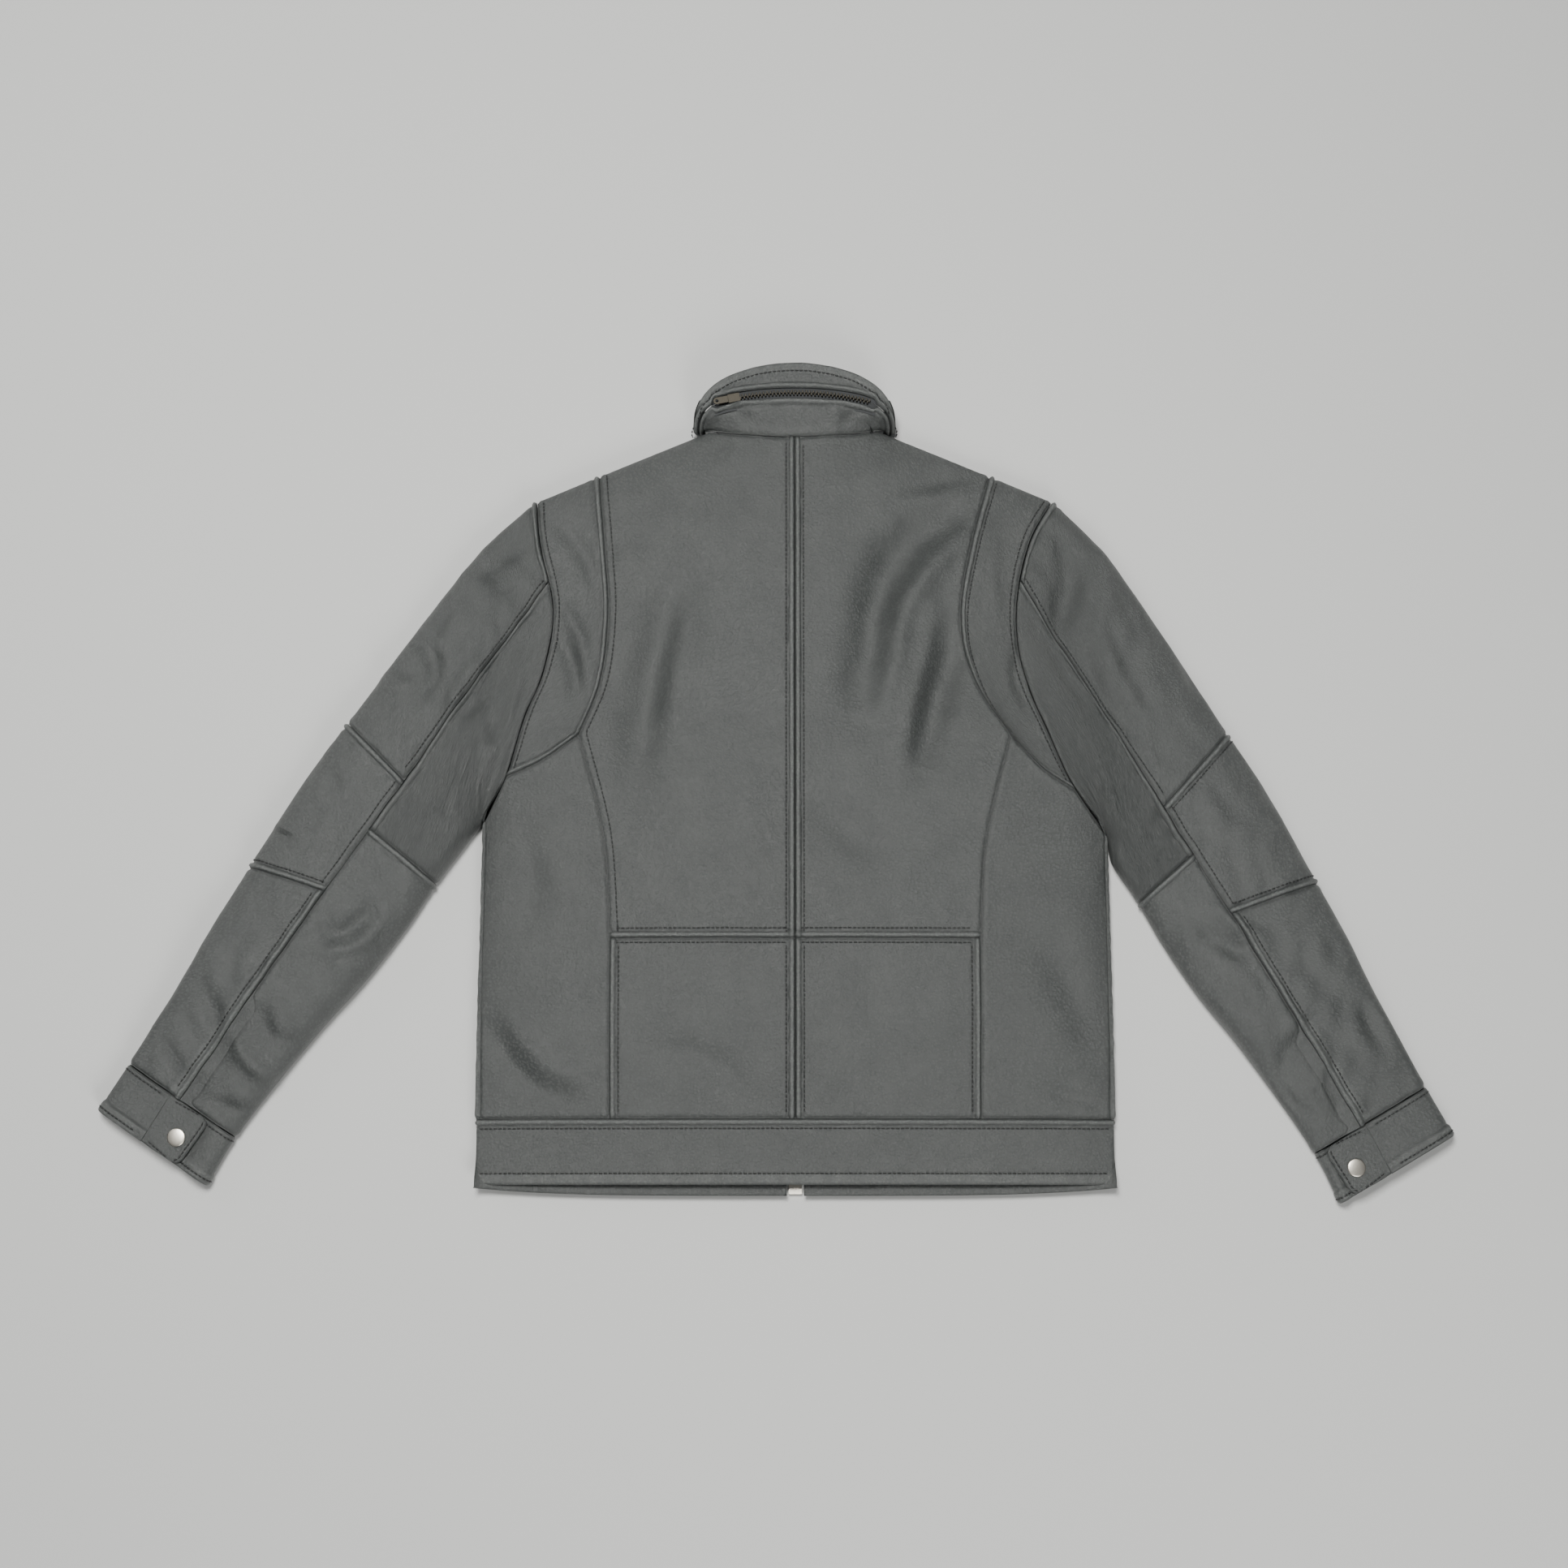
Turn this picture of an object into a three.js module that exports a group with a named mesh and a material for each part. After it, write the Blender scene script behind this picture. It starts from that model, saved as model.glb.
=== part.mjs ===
// Leather jacket laid flat on its front, back upwards, sleeves spread.
// Millimetres, +Z up. +Y runs from hem to collar, -X is the wearer's left.
import * as THREE from 'three';
import { mergeVertices } from 'three/addons/utils/BufferGeometryUtils.js';

// ---- driving dimensions ----
const LEATHER = 1.6;            // thickness of one leather panel with its interlining
const LINING = 0.8;             // thickness of the lining cloth
const SEAM_GAP = 0.4;           // clear width between two panels at a seam
const ARMHOLE_GAP = 0.8;        // clear width between sleeve and body, along X
const LAYER_GAP = 0.5;          // clear height between the layers of the front
const SLEEVE_LAYER_GAP = 1.9;   // clear height between leather and lining in the sleeves
const BACK_LAYER_GAP = 5;       // clear height between leather and lining under the arched back

const BODY_WIDTH = 536;         // across the flat body, side to side
const BACK_LENGTH = 652;        // hem to neck seam at the centre back
const WAISTBAND = 54;           // height of the waistband
const FRONT_DROP = 9;           // how far the front hem shows below the back hem
const LOWER_BACK = 204;         // hem to the cross seam of the back
const SIDE_SEAM_LOW = 155;      // centre to side-back seam, at the waistband
const SIDE_SEAM_TOP = 186;      // centre to side-back seam, at its top
const SHOULDER_WIDTH = 458;     // tip to tip
const SHOULDER_DROP = 54;       // neck seam down to the shoulder tip
const ARMHOLE = 296;            // shoulder tip to armpit, measured along Y
const NECK_WIDTH = 160;         // neck point to neck point
const NECK_RISE = 10;           // neck points above the middle of the neck seam
const FRONT_NECK_DROP = 77;     // neck seam of the back down to that of the front
const COLLAR_WIDTH = 180;       // widest part of the flattened collar
const COLLAR_HEIGHT = 67;       // neck seam to collar edge at the centre back
const COLLAR_ZIP_AT = 0.575;    // share of the collar height at which its zip lies
const BODY_HEIGHT = 38;         // thickness of the lying body
const HEM_HEIGHT = 18;          // thickness at the hem
const COLLAR_TOP = 38;          // height of the lying collar's back
const EDGE_HEIGHT = 8;          // height of the fold line along every outer edge

const SLEEVE_LENGTH = 643;      // shoulder tip to cuff edge
const SLEEVE_WIDTH = 147;       // flat width at the elbow
const CUFF_WIDTH = 113;         // flat width of the cuff
const CUFF_DEPTH = 46;
const CUFF_HEIGHT = 20;         // thickness of the lying cuff
const SLEEVE_HEIGHT = 34;       // thickness of the lying sleeve
const ELBOW_BOW = 22;           // how far the outer edge bows out at the elbow

const TAB_FLAP = 38;            // hinge line of the cuff tab to its free end
const TAB_RAISE = 2.8;          // clear height below the tab, taken by the snap
const SNAP_RADIUS = 7.6;
const SNAP_INSET = 15;          // snap centre to the free end of the tab
const SNAP_CLEAR = 0.3;         // clear height between the parts of a snap and the leather they sit on

const CHAIN_WIDTH = 5;          // zip teeth, across
const CHAIN_HEIGHT = 2;
const ZIP_SLOT = 14;            // clear width between the two front edges
const ZIP_TAPE = 13;            // width of one zip tape
const TAPE = 0.7;               // thickness of zip tape
const SLIDER_LENGTH = 13;

// How each side lies: the lay angle of the sleeve from -Y, how far the armhole is pushed out,
// and where the back seam of the sleeve and the cuff tab come to lie across the sleeve.
const SIDES = [
  { name: 'left', sign: -1, lay: 33.5, push: 9, rise: 6, seam: 55, tabEnd: 86 },
  { name: 'right', sign: 1, lay: 30, push: -9, rise: -6, seam: 67, tabEnd: 103 },
];

// ---- colours ----
const finish = (color, roughness, metalness = 0) =>
  new THREE.MeshStandardMaterial({ color, roughness, metalness, side: THREE.DoubleSide });
const leather = () => finish(0x3a3c3d, 0.5);
const cloth = () => finish(0x1c1d1f, 0.9);
const steel = () => finish(0xb9b7ae, 0.3, 1);
const tapeCloth = () => finish(0x222325, 0.85);

// ---- small maths ----
const lerp = (a, b, t) => a + (b - a) * t;
const clamp = (t) => Math.min(1, Math.max(0, t));
const smooth = (t) => clamp(t) * clamp(t) * (3 - 2 * clamp(t));
const mix = (p, q, t) => [lerp(p[0], q[0], t), lerp(p[1], q[1], t)];
const distance = (p, q) => Math.hypot(q[0] - p[0], q[1] - p[1]);
// A rounded box profile: 1 in the middle, 0 at t = +-1. A higher power gives a flatter middle.
const crown = (t, power, root) => Math.max(0, 1 - clamp(Math.abs(t)) ** power) ** (1 / root);

// A smooth curve through points, and its even or chosen samples.
function through(points) {
  const knots = points.map(([x, y]) => new THREE.Vector3(x, y, 0));
  const curve = new THREE.CatmullRomCurve3(knots, false, 'centripetal');
  return (t) => {
    const p = curve.getPointAt(clamp(t));
    return [p.x, p.y];
  };
}
const even = (n) => Array.from({ length: n + 1 }, (_, i) => i / n);

// ---- one closed sheet ----
// A box cut into cells is bent by place(column, row, depth), depth 0 outside and 1 inside.
function bentSheet(columns, rows, place, matched = false) {
  const geometry = new THREE.BoxGeometry(1, 1, 1, columns, rows, 1);
  const position = geometry.attributes.position;
  for (let i = 0; i < position.count; i += 1) {
    const column = Math.round((position.getX(i) + 0.5) * columns);
    const row = Math.round((position.getY(i) + 0.5) * rows);
    const depth = position.getZ(i) > 0 ? 0 : 1;
    position.setXYZ(i, ...place(column, row, depth));
  }
  if (matched) {
    // The lower face is split along the same diagonals as the upper one, so a thin sheet keeps its thickness.
    const index = geometry.index;
    const lower = geometry.groups[5];
    for (let i = lower.start; i < lower.start + lower.count; i += 6) {
      const [a, b, d, c] = [0, 1, 2, 4].map((k) => index.getX(i + k));
      [a, b, c, a, c, d].forEach((corner, k) => index.setX(i + k, corner));
    }
  }
  return closed(geometry);
}

// Merges shared corners and turns the faces outwards.
function closed(source) {
  source.deleteAttribute('normal');
  source.deleteAttribute('uv');
  const geometry = mergeVertices(source, 1e-4);
  const index = geometry.index;
  const position = geometry.attributes.position;
  const [a, b, c] = [new THREE.Vector3(), new THREE.Vector3(), new THREE.Vector3()];
  let volume = 0;
  for (let i = 0; i < index.count; i += 3) {
    a.fromBufferAttribute(position, index.getX(i));
    b.fromBufferAttribute(position, index.getX(i + 1));
    c.fromBufferAttribute(position, index.getX(i + 2));
    volume += a.dot(b.clone().cross(c));
  }
  if (volume < 0) {
    for (let i = 0; i < index.count; i += 3) {
      const first = index.getX(i);
      index.setX(i, index.getX(i + 1));
      index.setX(i + 1, first);
    }
  }
  geometry.computeVertexNormals();
  return geometry;
}

const jacket = new THREE.Group();
function add(name, geometry, material, parent = jacket) {
  const mesh = new THREE.Mesh(geometry, material);
  mesh.name = name;
  parent.add(mesh);
  return mesh;
}

// ---- the lying body ----
const BODY_HALF = BODY_WIDTH / 2;
const NECK_HALF = NECK_WIDTH / 2;
const COLLAR_HALF = COLLAR_WIDTH / 2;
const TIP = [SHOULDER_WIDTH / 2, BACK_LENGTH - SHOULDER_DROP];
const NECK_POINT = [NECK_HALF, BACK_LENGTH + NECK_RISE];
const ROUND_FROM = TIP[1] - 0.57 * ARMHOLE;   // above this height the body rounds off to the shoulder
const HEM_RISE = 0.3 * BACK_LENGTH - 40;      // the body reaches its full height this far above the hem

// The upper silhouette: the sloping shoulder, and the collar's arc between the neck points.
function upperEdge(x) {
  const away = Math.abs(x);
  if (away < NECK_HALF) {
    return lerp(NECK_POINT[1], BACK_LENGTH + COLLAR_HEIGHT, Math.sqrt(1 - (away / NECK_HALF) ** 2));
  }
  return lerp(NECK_POINT[1], TIP[1], (away - NECK_HALF) / (TIP[0] - NECK_HALF));
}
const shoulderPoint = (x) => [x, upperEdge(x)];

// Height of the back above the floor, and of the front, at a depth below the outer face.
function bodyRise(x, y, power, root) {
  const toEdge = clamp((y - ROUND_FROM) / (upperEdge(x) - ROUND_FROM));
  return crown(x / BODY_HALF, power, root) * crown(toEdge, power, root);
}
function backHeight(x, y, depth) {
  const full = lerp(HEM_HEIGHT, BODY_HEIGHT, smooth(y / HEM_RISE));
  const rise = bodyRise(x, y, 3, 2.2);
  return EDGE_HEIGHT + 0.5 * SEAM_GAP * (1 - rise) + (full - EDGE_HEIGHT - depth) * rise;
}
function frontHeight(x, y, depth) {
  const rise = bodyRise(x, y, 16, 2);
  return EDGE_HEIGHT - 0.5 * SEAM_GAP * (1 - rise) - (EDGE_HEIGHT - depth) * rise;
}
// Inner layers draw in from the side edges and from the shoulder line.
function drawIn([x, y], depth) {
  const toEdge = clamp((y - ROUND_FROM) / (upperEdge(x) - ROUND_FROM));
  return [x * (1 - depth / BODY_HALF), y - depth * toEdge ** 4];
}

// A sheet of the body between four border lines in plan, each a list of points.
// left and right run upwards, bottom and top run from left to right.
function bodySheet(borders, height, from, thickness, inset = 0.5 * SEAM_GAP) {
  const { left, right, bottom, top } = borders;
  const shares = (line) => {
    const sums = [0];
    for (let i = 1; i < line.length; i += 1) {
      sums.push(sums[i - 1] + distance(line[i - 1], line[i]));
    }
    return sums.map((sum) => sum / sums[sums.length - 1]);
  };
  const [byLeft, byRight, byBottom, byTop] = [left, right, bottom, top].map(shares);
  const columns = bottom.length - 1;
  const rows = left.length - 1;
  const plan = (i, j) => {
    const u = 0.5 * (byBottom[i] + byTop[i]);
    const t = 0.5 * (byLeft[j] + byRight[j]);
    return [0, 1].map((k) => (1 - u) * left[j][k] + u * right[j][k] + (1 - t) * bottom[i][k] + t * top[i][k]
      - (1 - u) * (1 - t) * bottom[0][k] - u * (1 - t) * bottom[columns][k]
      - (1 - u) * t * top[0][k] - u * t * top[columns][k]);
  };
  const insetPlan = (i, j) => {
    let point = plan(i, j);
    const edges = [[i === 0, 1, 0], [i === columns, -1, 0], [j === 0, 0, 1], [j === rows, 0, -1]];
    for (const [onEdge, di, dj] of edges) {
      if (onEdge) {
        const inner = plan(i + di, j + dj);
        const here = plan(i, j);
        const reach = inset / distance(here, inner);
        point = point.map((value, k) => value + (inner[k] - here[k]) * reach);
      }
    }
    return point;
  };
  return bentSheet(columns, rows, (i, j, depth) => {
    const point = insetPlan(i, j);
    const below = from + depth * thickness;
    return [...drawIn(point, below), height(point[0], point[1], below)];
  }, true);
}

// ---- seam lines of one side ----
// The samples along the armhole are those of the sleeve panels that meet it.
const OUTER_SHARES = [0, 0.06, 0.25, 0.6, 1];
const UNDER_SHARES = [0, 0.28, 0.56, 0.81, 0.95, 1];
const UNDER_LAP = 3;            // the sample at which the shoulder panel runs out under the sleeve

function armholeCurve(side) {
  const foot = TIP[1] - ARMHOLE + side.rise;
  const deep = TIP[1] - foot;
  const inward = (share) => TIP[0] - share * SHOULDER_WIDTH + side.push;
  return through([
    TIP,
    [inward(0.03), TIP[1] - 0.14 * deep],
    [inward(0.06), TIP[1] - 0.36 * deep],
    [inward(0.045), TIP[1] - 0.55 * deep],
    [inward(0.01), TIP[1] - 0.69 * deep],
    [lerp(TIP[0], BODY_HALF, 0.4) + 0.5 * side.push, TIP[1] - 0.87 * deep],
    [BODY_HALF, foot],
  ]);
}

function bodySeams(side, seamShare) {
  const armhole = armholeCurve(side);
  const outerPart = OUTER_SHARES.map((share) => armhole(share * seamShare));
  const underPart = UNDER_SHARES.slice(1).map((share) => armhole(lerp(seamShare, 1, share)));
  const armLine = [...outerPart, ...underPart];
  const lapAt = OUTER_SHARES.length - 1 + UNDER_LAP;
  const tee = [SIDE_SEAM_TOP, TIP[1] - 0.735 * ARMHOLE];
  const panelTop = shoulderPoint(0.76 * TIP[0]);
  const yoke = through([
    panelTop,
    [0.7 * TIP[0] + 0.7 * side.push, TIP[1] - 0.17 * ARMHOLE],
    [0.67 * TIP[0] + side.push, TIP[1] - 0.38 * ARMHOLE],
    [0.71 * TIP[0] + 0.7 * side.push, TIP[1] - 0.58 * ARMHOLE],
    tee,
  ]);
  const yokeSeam = [0, 0.04, 0.14, 0.3, 0.48, 0.66, 0.84, 1].map((t) => yoke(t));
  const underSeam = through([tee, [lerp(tee[0], armLine[lapAt][0], 0.5), lerp(tee[1], armLine[lapAt][1], 0.62)],
    armLine[lapAt]]);
  const crossEnd = [SIDE_SEAM_LOW + 1, LOWER_BACK];
  const sideSeam = through([crossEnd, [lerp(crossEnd[0], tee[0], 0.25), lerp(crossEnd[1], tee[1], 0.5)], tee]);
  return {
    armLine,
    lapAt,
    yokeSeam,
    underSeam: [0, 0.35, 0.7, 1].map((t) => underSeam(t)),
    sideLow: even(3).map((t) => mix([SIDE_SEAM_LOW, WAISTBAND], crossEnd, t)),
    sideHigh: even(4).map((t) => sideSeam(t)),
    armpit: armLine[armLine.length - 1],
  };
}

// ---- the sleeve as a flattened tube ----
// Section k of the sleeve joins a point of the outer edge to a point of the inner edge.
const PATCH_TOP = 3;
const ELBOW = 4;
const PATCH_END = 5;
const CUFF_TOP = 8;
const CUFF_END = 9;
const OUTER_ALONG = [0, 0.09, 0.23, 0.4, 0.49, 0.633, 0.71, 0.785];
const OUTER_BOW = [0, 0.6, 0.85, 0.93, 1, 0.75, 0.6, 0.35, 0.08, 0];
const INNER_ALONG = [0, 0.02, 0.04, 0.065, 0.175, 0.28, 0.43, 0.59];
const HEIGHTS = [1, 1, 1, 1, 1, 1, 1, 0.94];

function makeSleeve(side) {
  const angle = THREE.MathUtils.degToRad(side.lay);
  const u = [Math.sin(angle), -Math.cos(angle)];
  const v = [-Math.cos(angle), -Math.sin(angle)];
  const toPlan = ([along, across]) => TIP.map((value, k) => value + u[k] * along + v[k] * across);
  const toSleeve = (point) => [u, v].map((way) => (point[0] - TIP[0]) * way[0] + (point[1] - TIP[1]) * way[1]);
  const armhole = armholeCurve(side);
  const armpit = toSleeve(armhole(1));
  const cuffTop = SLEEVE_LENGTH - CUFF_DEPTH;
  const outerKeys = OUTER_ALONG.map((share, k) => [share * SLEEVE_LENGTH, -OUTER_BOW[k] * ELBOW_BOW]);
  outerKeys.push([cuffTop, -OUTER_BOW[8] * ELBOW_BOW], [SLEEVE_LENGTH, 0]);
  const widths = [0, 0, 0, 1.0, 1.0, 0.97, 0.93, 0.84].map((share) => share * SLEEVE_WIDTH);
  const patchInner = outerKeys[PATCH_TOP][1] + SLEEVE_WIDTH;
  const innerAcross = (k) => (k < PATCH_TOP
    ? lerp(armpit[1], patchInner, k / PATCH_TOP)
    : outerKeys[k][1] + widths[k]);
  const innerKeys = INNER_ALONG.map((share, k) => [lerp(armpit[0], SLEEVE_LENGTH, share), innerAcross(k)]);
  innerKeys.push([cuffTop, outerKeys[8][1] + CUFF_WIDTH - 2], [SLEEVE_LENGTH, CUFF_WIDTH]);
  const spline = (keys) => {
    const curve = new THREE.CatmullRomCurve3(keys.map(([a, b]) => new THREE.Vector3(a, b, 0)));
    return (s) => {
      const p = curve.getPoint(clamp(s / CUFF_END));
      return [p.x, p.y];
    };
  };
  const outer = spline(outerKeys);
  const inner = spline(innerKeys);
  const chord = (f) => mix(outerKeys[0], innerKeys[0], f);
  const bulge = (f) => {
    const onCurve = toSleeve(armhole(f));
    return [onCurve[0] - chord(f)[0], onCurve[1] - chord(f)[1]];
  };
  // Plan point in the sleeve's own frame at section s and share f from the outer to the inner edge.
  const flat = (s, f, depth = 0) => {
    const [a, b] = [outer(s), inner(s)];
    const width = distance(a, b);
    const point = mix(a, b, lerp(depth / width, 1 - depth / width, f));
    const fade = Math.max(0, 1 - s / 2) ** 2;
    return [point[0] + fade * bulge(f)[0], point[1] + fade * bulge(f)[1]];
  };
  const heightOf = (s) => {
    const keys = [...HEIGHTS.map((share) => share * SLEEVE_HEIGHT), CUFF_HEIGHT, CUFF_HEIGHT];
    const k = Math.min(CUFF_END - 1, Math.floor(s));
    return lerp(keys[k], keys[k + 1], s - k);
  };
  const powerOf = (s) => lerp(2.8, 8, smooth((s - PATCH_END) / (CUFF_TOP - PATCH_END)));
  // Height at section s and share f. over is true on the back half, false on the front half.
  const height = (s, f, over, depth) => {
    const [x, y] = toPlan(flat(s, f));
    const byBody = 1 - smooth(s / 1.2);
    if (over) {
      const own = EDGE_HEIGHT + (heightOf(s) - EDGE_HEIGHT - depth) * crown(2 * f - 1, powerOf(s), 2.4);
      return lerp(own, backHeight(x, y, depth), byBody * Math.min(1, 8 * f, 8 * (1 - f)));
    }
    const own = EDGE_HEIGHT - (EDGE_HEIGHT - depth) * crown(2 * f - 1, 8, 2.4);
    return lerp(own, frontHeight(x, y, depth), byBody * Math.min(1, 8 * f, 8 * (1 - f)));
  };
  // The share at which a line at a fixed distance across the sleeve crosses section s.
  const shareAt = (s, across) => {
    let [low, high] = [0, 1];
    for (let i = 0; i < 40; i += 1) {
      const middle = 0.5 * (low + high);
      if (flat(s, middle)[1] < across) {
        low = middle;
      } else {
        high = middle;
      }
    }
    return 0.5 * (low + high);
  };
  const place = (s, q, depth) => {
    const f = Math.abs(q);
    const over = q >= 0;
    const [x, y] = toPlan(flat(s, f, depth));
    return [side.sign * (x + ARMHOLE_GAP), y, height(s, f, over, depth)];
  };
  return { toPlan, flat, shareAt, place, inner };
}

// A sleeve panel wraps round one edge: q is the share on the back half, and its negative on the front half.
// turn(s, column) gives that share, from the back seam round to the front seam.
function sleeveSheet(sleeve, sections, columns, turn, from, thickness) {
  const last = sections.length - 1;
  return bentSheet(columns, last, (column, row, depth) => {
    const below = from + depth * thickness;
    const at = (k) => sleeve.place(sections[k], turn(sections[k], column), below);
    const point = at(row);
    if (row > 0 && row < last) {
      return point;
    }
    const next = at(row === 0 ? 1 : last - 1);
    const reach = Math.hypot(next[0] - point[0], next[1] - point[1], next[2] - point[2]);
    return point.map((value, k) => value + (next[k] - value) * (0.5 * SEAM_GAP / reach));
  });
}

// ---- body panels, one side at a time ----
const NECK_SHARES = [1, 0.96, 0.84, 0.62, 0.42, 0.21, 0];
const FRONT_NECK_SHARES = [1, 0.96, 0.84, 0.6, 0.35];
const FRONT_EDGE = 0.5 * ZIP_SLOT;
const neckBack = (share) => [NECK_HALF * share, BACK_LENGTH + NECK_RISE * share ** 2];
const neckFront = (share) => [NECK_HALF * share,
  lerp(BACK_LENGTH - FRONT_NECK_DROP, NECK_POINT[1], Math.abs(share) ** 1.4)];
const frontNeckShares = [...FRONT_NECK_SHARES, FRONT_EDGE / NECK_HALF];
const centre = (low, high, shares) => shares.map((t) => [0, lerp(low, high, t)]);
const sideEdgeShares = [0, 0.33, 0.66, 1];

// Turns borders given for the +X side into those of either side.
function forSide(side, { inboard, outboard, bottom, top }) {
  if (side.sign > 0) {
    return { left: inboard, right: outboard, bottom, top };
  }
  const flip = (line) => line.map(([x, y]) => [-x, y]);
  return { left: flip(outboard), right: flip(inboard), bottom: flip(bottom).reverse(), top: flip(top).reverse() };
}

const sleeves = SIDES.map(makeSleeve);
const seams = SIDES.map((side, i) => bodySeams(side, sleeves[i].shareAt(0, side.seam)));
const waistSide = (from, to, shares) => shares.map((t) => [lerp(from, to, t), WAISTBAND]);
const SIDE_COLUMNS = [0, 0.22, 0.46, 0.72, 0.92, 1];
const BACK_COLUMNS = even(8);

SIDES.forEach((side, index) => {
  const { armLine, lapAt, yokeSeam, underSeam, sideLow, sideHigh, armpit } = seams[index];
  const lengthShares = (line) => {
    const [low, high] = [line[0][1], line[line.length - 1][1]];
    return line.map(([, y]) => (y - low) / (high - low));
  };
  const lowBottom = waistSide(0, SIDE_SEAM_LOW, BACK_COLUMNS);
  const crossSeam = BACK_COLUMNS.map((t) => [t * sideHigh[0][0], LOWER_BACK]);
  const yokeUp = [...yokeSeam].reverse();

  const lower = forSide(side, {
    inboard: centre(WAISTBAND, LOWER_BACK, lengthShares(sideLow)),
    outboard: sideLow,
    bottom: lowBottom,
    top: crossSeam,
  });
  add(`back_lower_${side.name}`, bodySheet(lower, backHeight, 0, LEATHER), leather());

  const upperSeam = [...sideHigh, ...yokeUp.slice(1)];
  const shoulderPart = even(2).map((t) => shoulderPoint(lerp(NECK_HALF, yokeSeam[0][0], t)));
  const upper = forSide(side, {
    inboard: centre(LOWER_BACK, BACK_LENGTH, lengthShares(upperSeam)),
    outboard: upperSeam,
    bottom: crossSeam,
    top: [...[...NECK_SHARES].reverse().map(neckBack), ...shoulderPart.slice(1)],
  });
  add(`back_upper_${side.name}`, bodySheet(upper, backHeight, 0, LEATHER), leather());

  const sideSeam = [...sideLow.slice(0, -1), ...sideHigh];
  const sideEdge = lengthShares(sideSeam).map((t) => [BODY_HALF, lerp(WAISTBAND, armpit[1], t)]);
  const underArm = [...underSeam, ...armLine.slice(lapAt + 1)];
  const panel = forSide(side, {
    inboard: sideSeam,
    outboard: sideEdge,
    bottom: waistSide(SIDE_SEAM_LOW, BODY_HALF, SIDE_COLUMNS),
    top: underArm,
  });
  add(`side_panel_${side.name}`, bodySheet(panel, backHeight, 0, LEATHER), leather());

  const shoulder = forSide(side, {
    inboard: yokeUp,
    outboard: armLine.slice(0, lapAt + 1).reverse(),
    bottom: underSeam,
    top: even(3).map((t) => shoulderPoint(lerp(yokeSeam[0][0], TIP[0], t))),
  });
  add(`shoulder_panel_${side.name}`, bodySheet(shoulder, backHeight, 0, LEATHER), leather());

  const frontOut = [...sideEdgeShares.map((t) => [BODY_HALF, lerp(WAISTBAND, armpit[1], t)]),
    ...[...armLine].reverse().slice(1)];
  const frontTop = [...[...frontNeckShares].reverse().map(neckFront),
    ...even(4).slice(1).map((t) => shoulderPoint(lerp(NECK_HALF, TIP[0], t)))];
  const frontShares = frontTop.map(([x]) => (x - FRONT_EDGE) / (TIP[0] - FRONT_EDGE));
  const front = forSide(side, {
    inboard: lengthShares(frontOut).map((t) => [FRONT_EDGE, lerp(WAISTBAND, frontTop[0][1], t)]),
    outboard: frontOut,
    bottom: frontShares.map((t) => [lerp(FRONT_EDGE, BODY_HALF, t), WAISTBAND]),
    top: frontTop,
  });
  add(`front_panel_${side.name}`, bodySheet(front, frontHeight, 0, LEATHER), leather());
  const liningDepth = LEATHER + TAPE + 3 * LAYER_GAP;
  add(`lining_front_${side.name}`, bodySheet(front, frontHeight, liningDepth, LINING), cloth());

  const band = forSide(side, {
    inboard: [-FRONT_DROP, 0.5 * WAISTBAND, WAISTBAND].map((y) => [FRONT_EDGE, y]),
    outboard: [-0.3 * FRONT_DROP, 0.5 * WAISTBAND, WAISTBAND].map((y) => [BODY_HALF, y]),
    bottom: frontShares.map((t) => [lerp(FRONT_EDGE, BODY_HALF, t), -FRONT_DROP * lerp(1, 0.3, t ** 4)]),
    top: frontShares.map((t) => [lerp(FRONT_EDGE, BODY_HALF, t), WAISTBAND]),
  });
  add(`waistband_front_${side.name}`, bodySheet(band, frontHeight, 0, LEATHER), leather());
});

// Waistband of the back, in one piece from side seam to side seam.
const halfWaist = [...waistSide(0, SIDE_SEAM_LOW, BACK_COLUMNS),
  ...waistSide(SIDE_SEAM_LOW, BODY_HALF, SIDE_COLUMNS).slice(1)];
const waistTop = [...halfWaist.map(([x, y]) => [-x, y]).reverse(), ...halfWaist.slice(1)];
add('waistband_back', bodySheet({
  left: [0, 0.5, 1].map((t) => [-BODY_HALF, t * WAISTBAND]),
  right: [0, 0.5, 1].map((t) => [BODY_HALF, t * WAISTBAND]),
  bottom: waistTop.map(([x]) => [x, 0]),
  top: waistTop,
}, backHeight, 0, LEATHER), leather());

// Lining of the back: two cloth halves inside the leather, short of the hem and the neck.
const LINING_LOW = 0.85 * WAISTBAND;
const LINING_INSET = 4;
const LINING_NECK = 6;          // lining's top edge below the neck seam
const LINING_COLUMNS = [0, 0.3, 0.6, 0.85, 1];
const liningCentre = 0.5 * SEAM_GAP - LINING_INSET;
SIDES.forEach((side, index) => {
  const { armLine, armpit } = seams[index];
  const alongSide = [LINING_LOW, 0.5 * (LINING_LOW + armpit[1]), armpit[1]].map((y) => [BODY_HALF, y]);
  const alongArm = [0.75, 0.5, 0.25, 0].map((t) => armLine[Math.round(t * (armLine.length - 1))]);
  const neckLine = BACK_LENGTH - LINING_NECK;
  const outboard = [...alongSide, ...alongArm];
  const inboard = outboard.map((_, i) => [liningCentre, lerp(LINING_LOW, neckLine, i / (outboard.length - 1))]);
  const acrossAt = (t, half) => lerp(liningCentre, half, t);
  const topAt = (x) => [x, x < NECK_HALF ? neckLine : upperEdge(x)];
  add(`lining_back_${side.name}`, bodySheet(forSide(side, {
    inboard,
    outboard,
    bottom: LINING_COLUMNS.map((t) => [acrossAt(t, BODY_HALF), LINING_LOW]),
    top: LINING_COLUMNS.map((t) => topAt(acrossAt(t, TIP[0]))),
  }), backHeight, LEATHER + BACK_LAYER_GAP, LINING, LINING_INSET), cloth());
});

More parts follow.
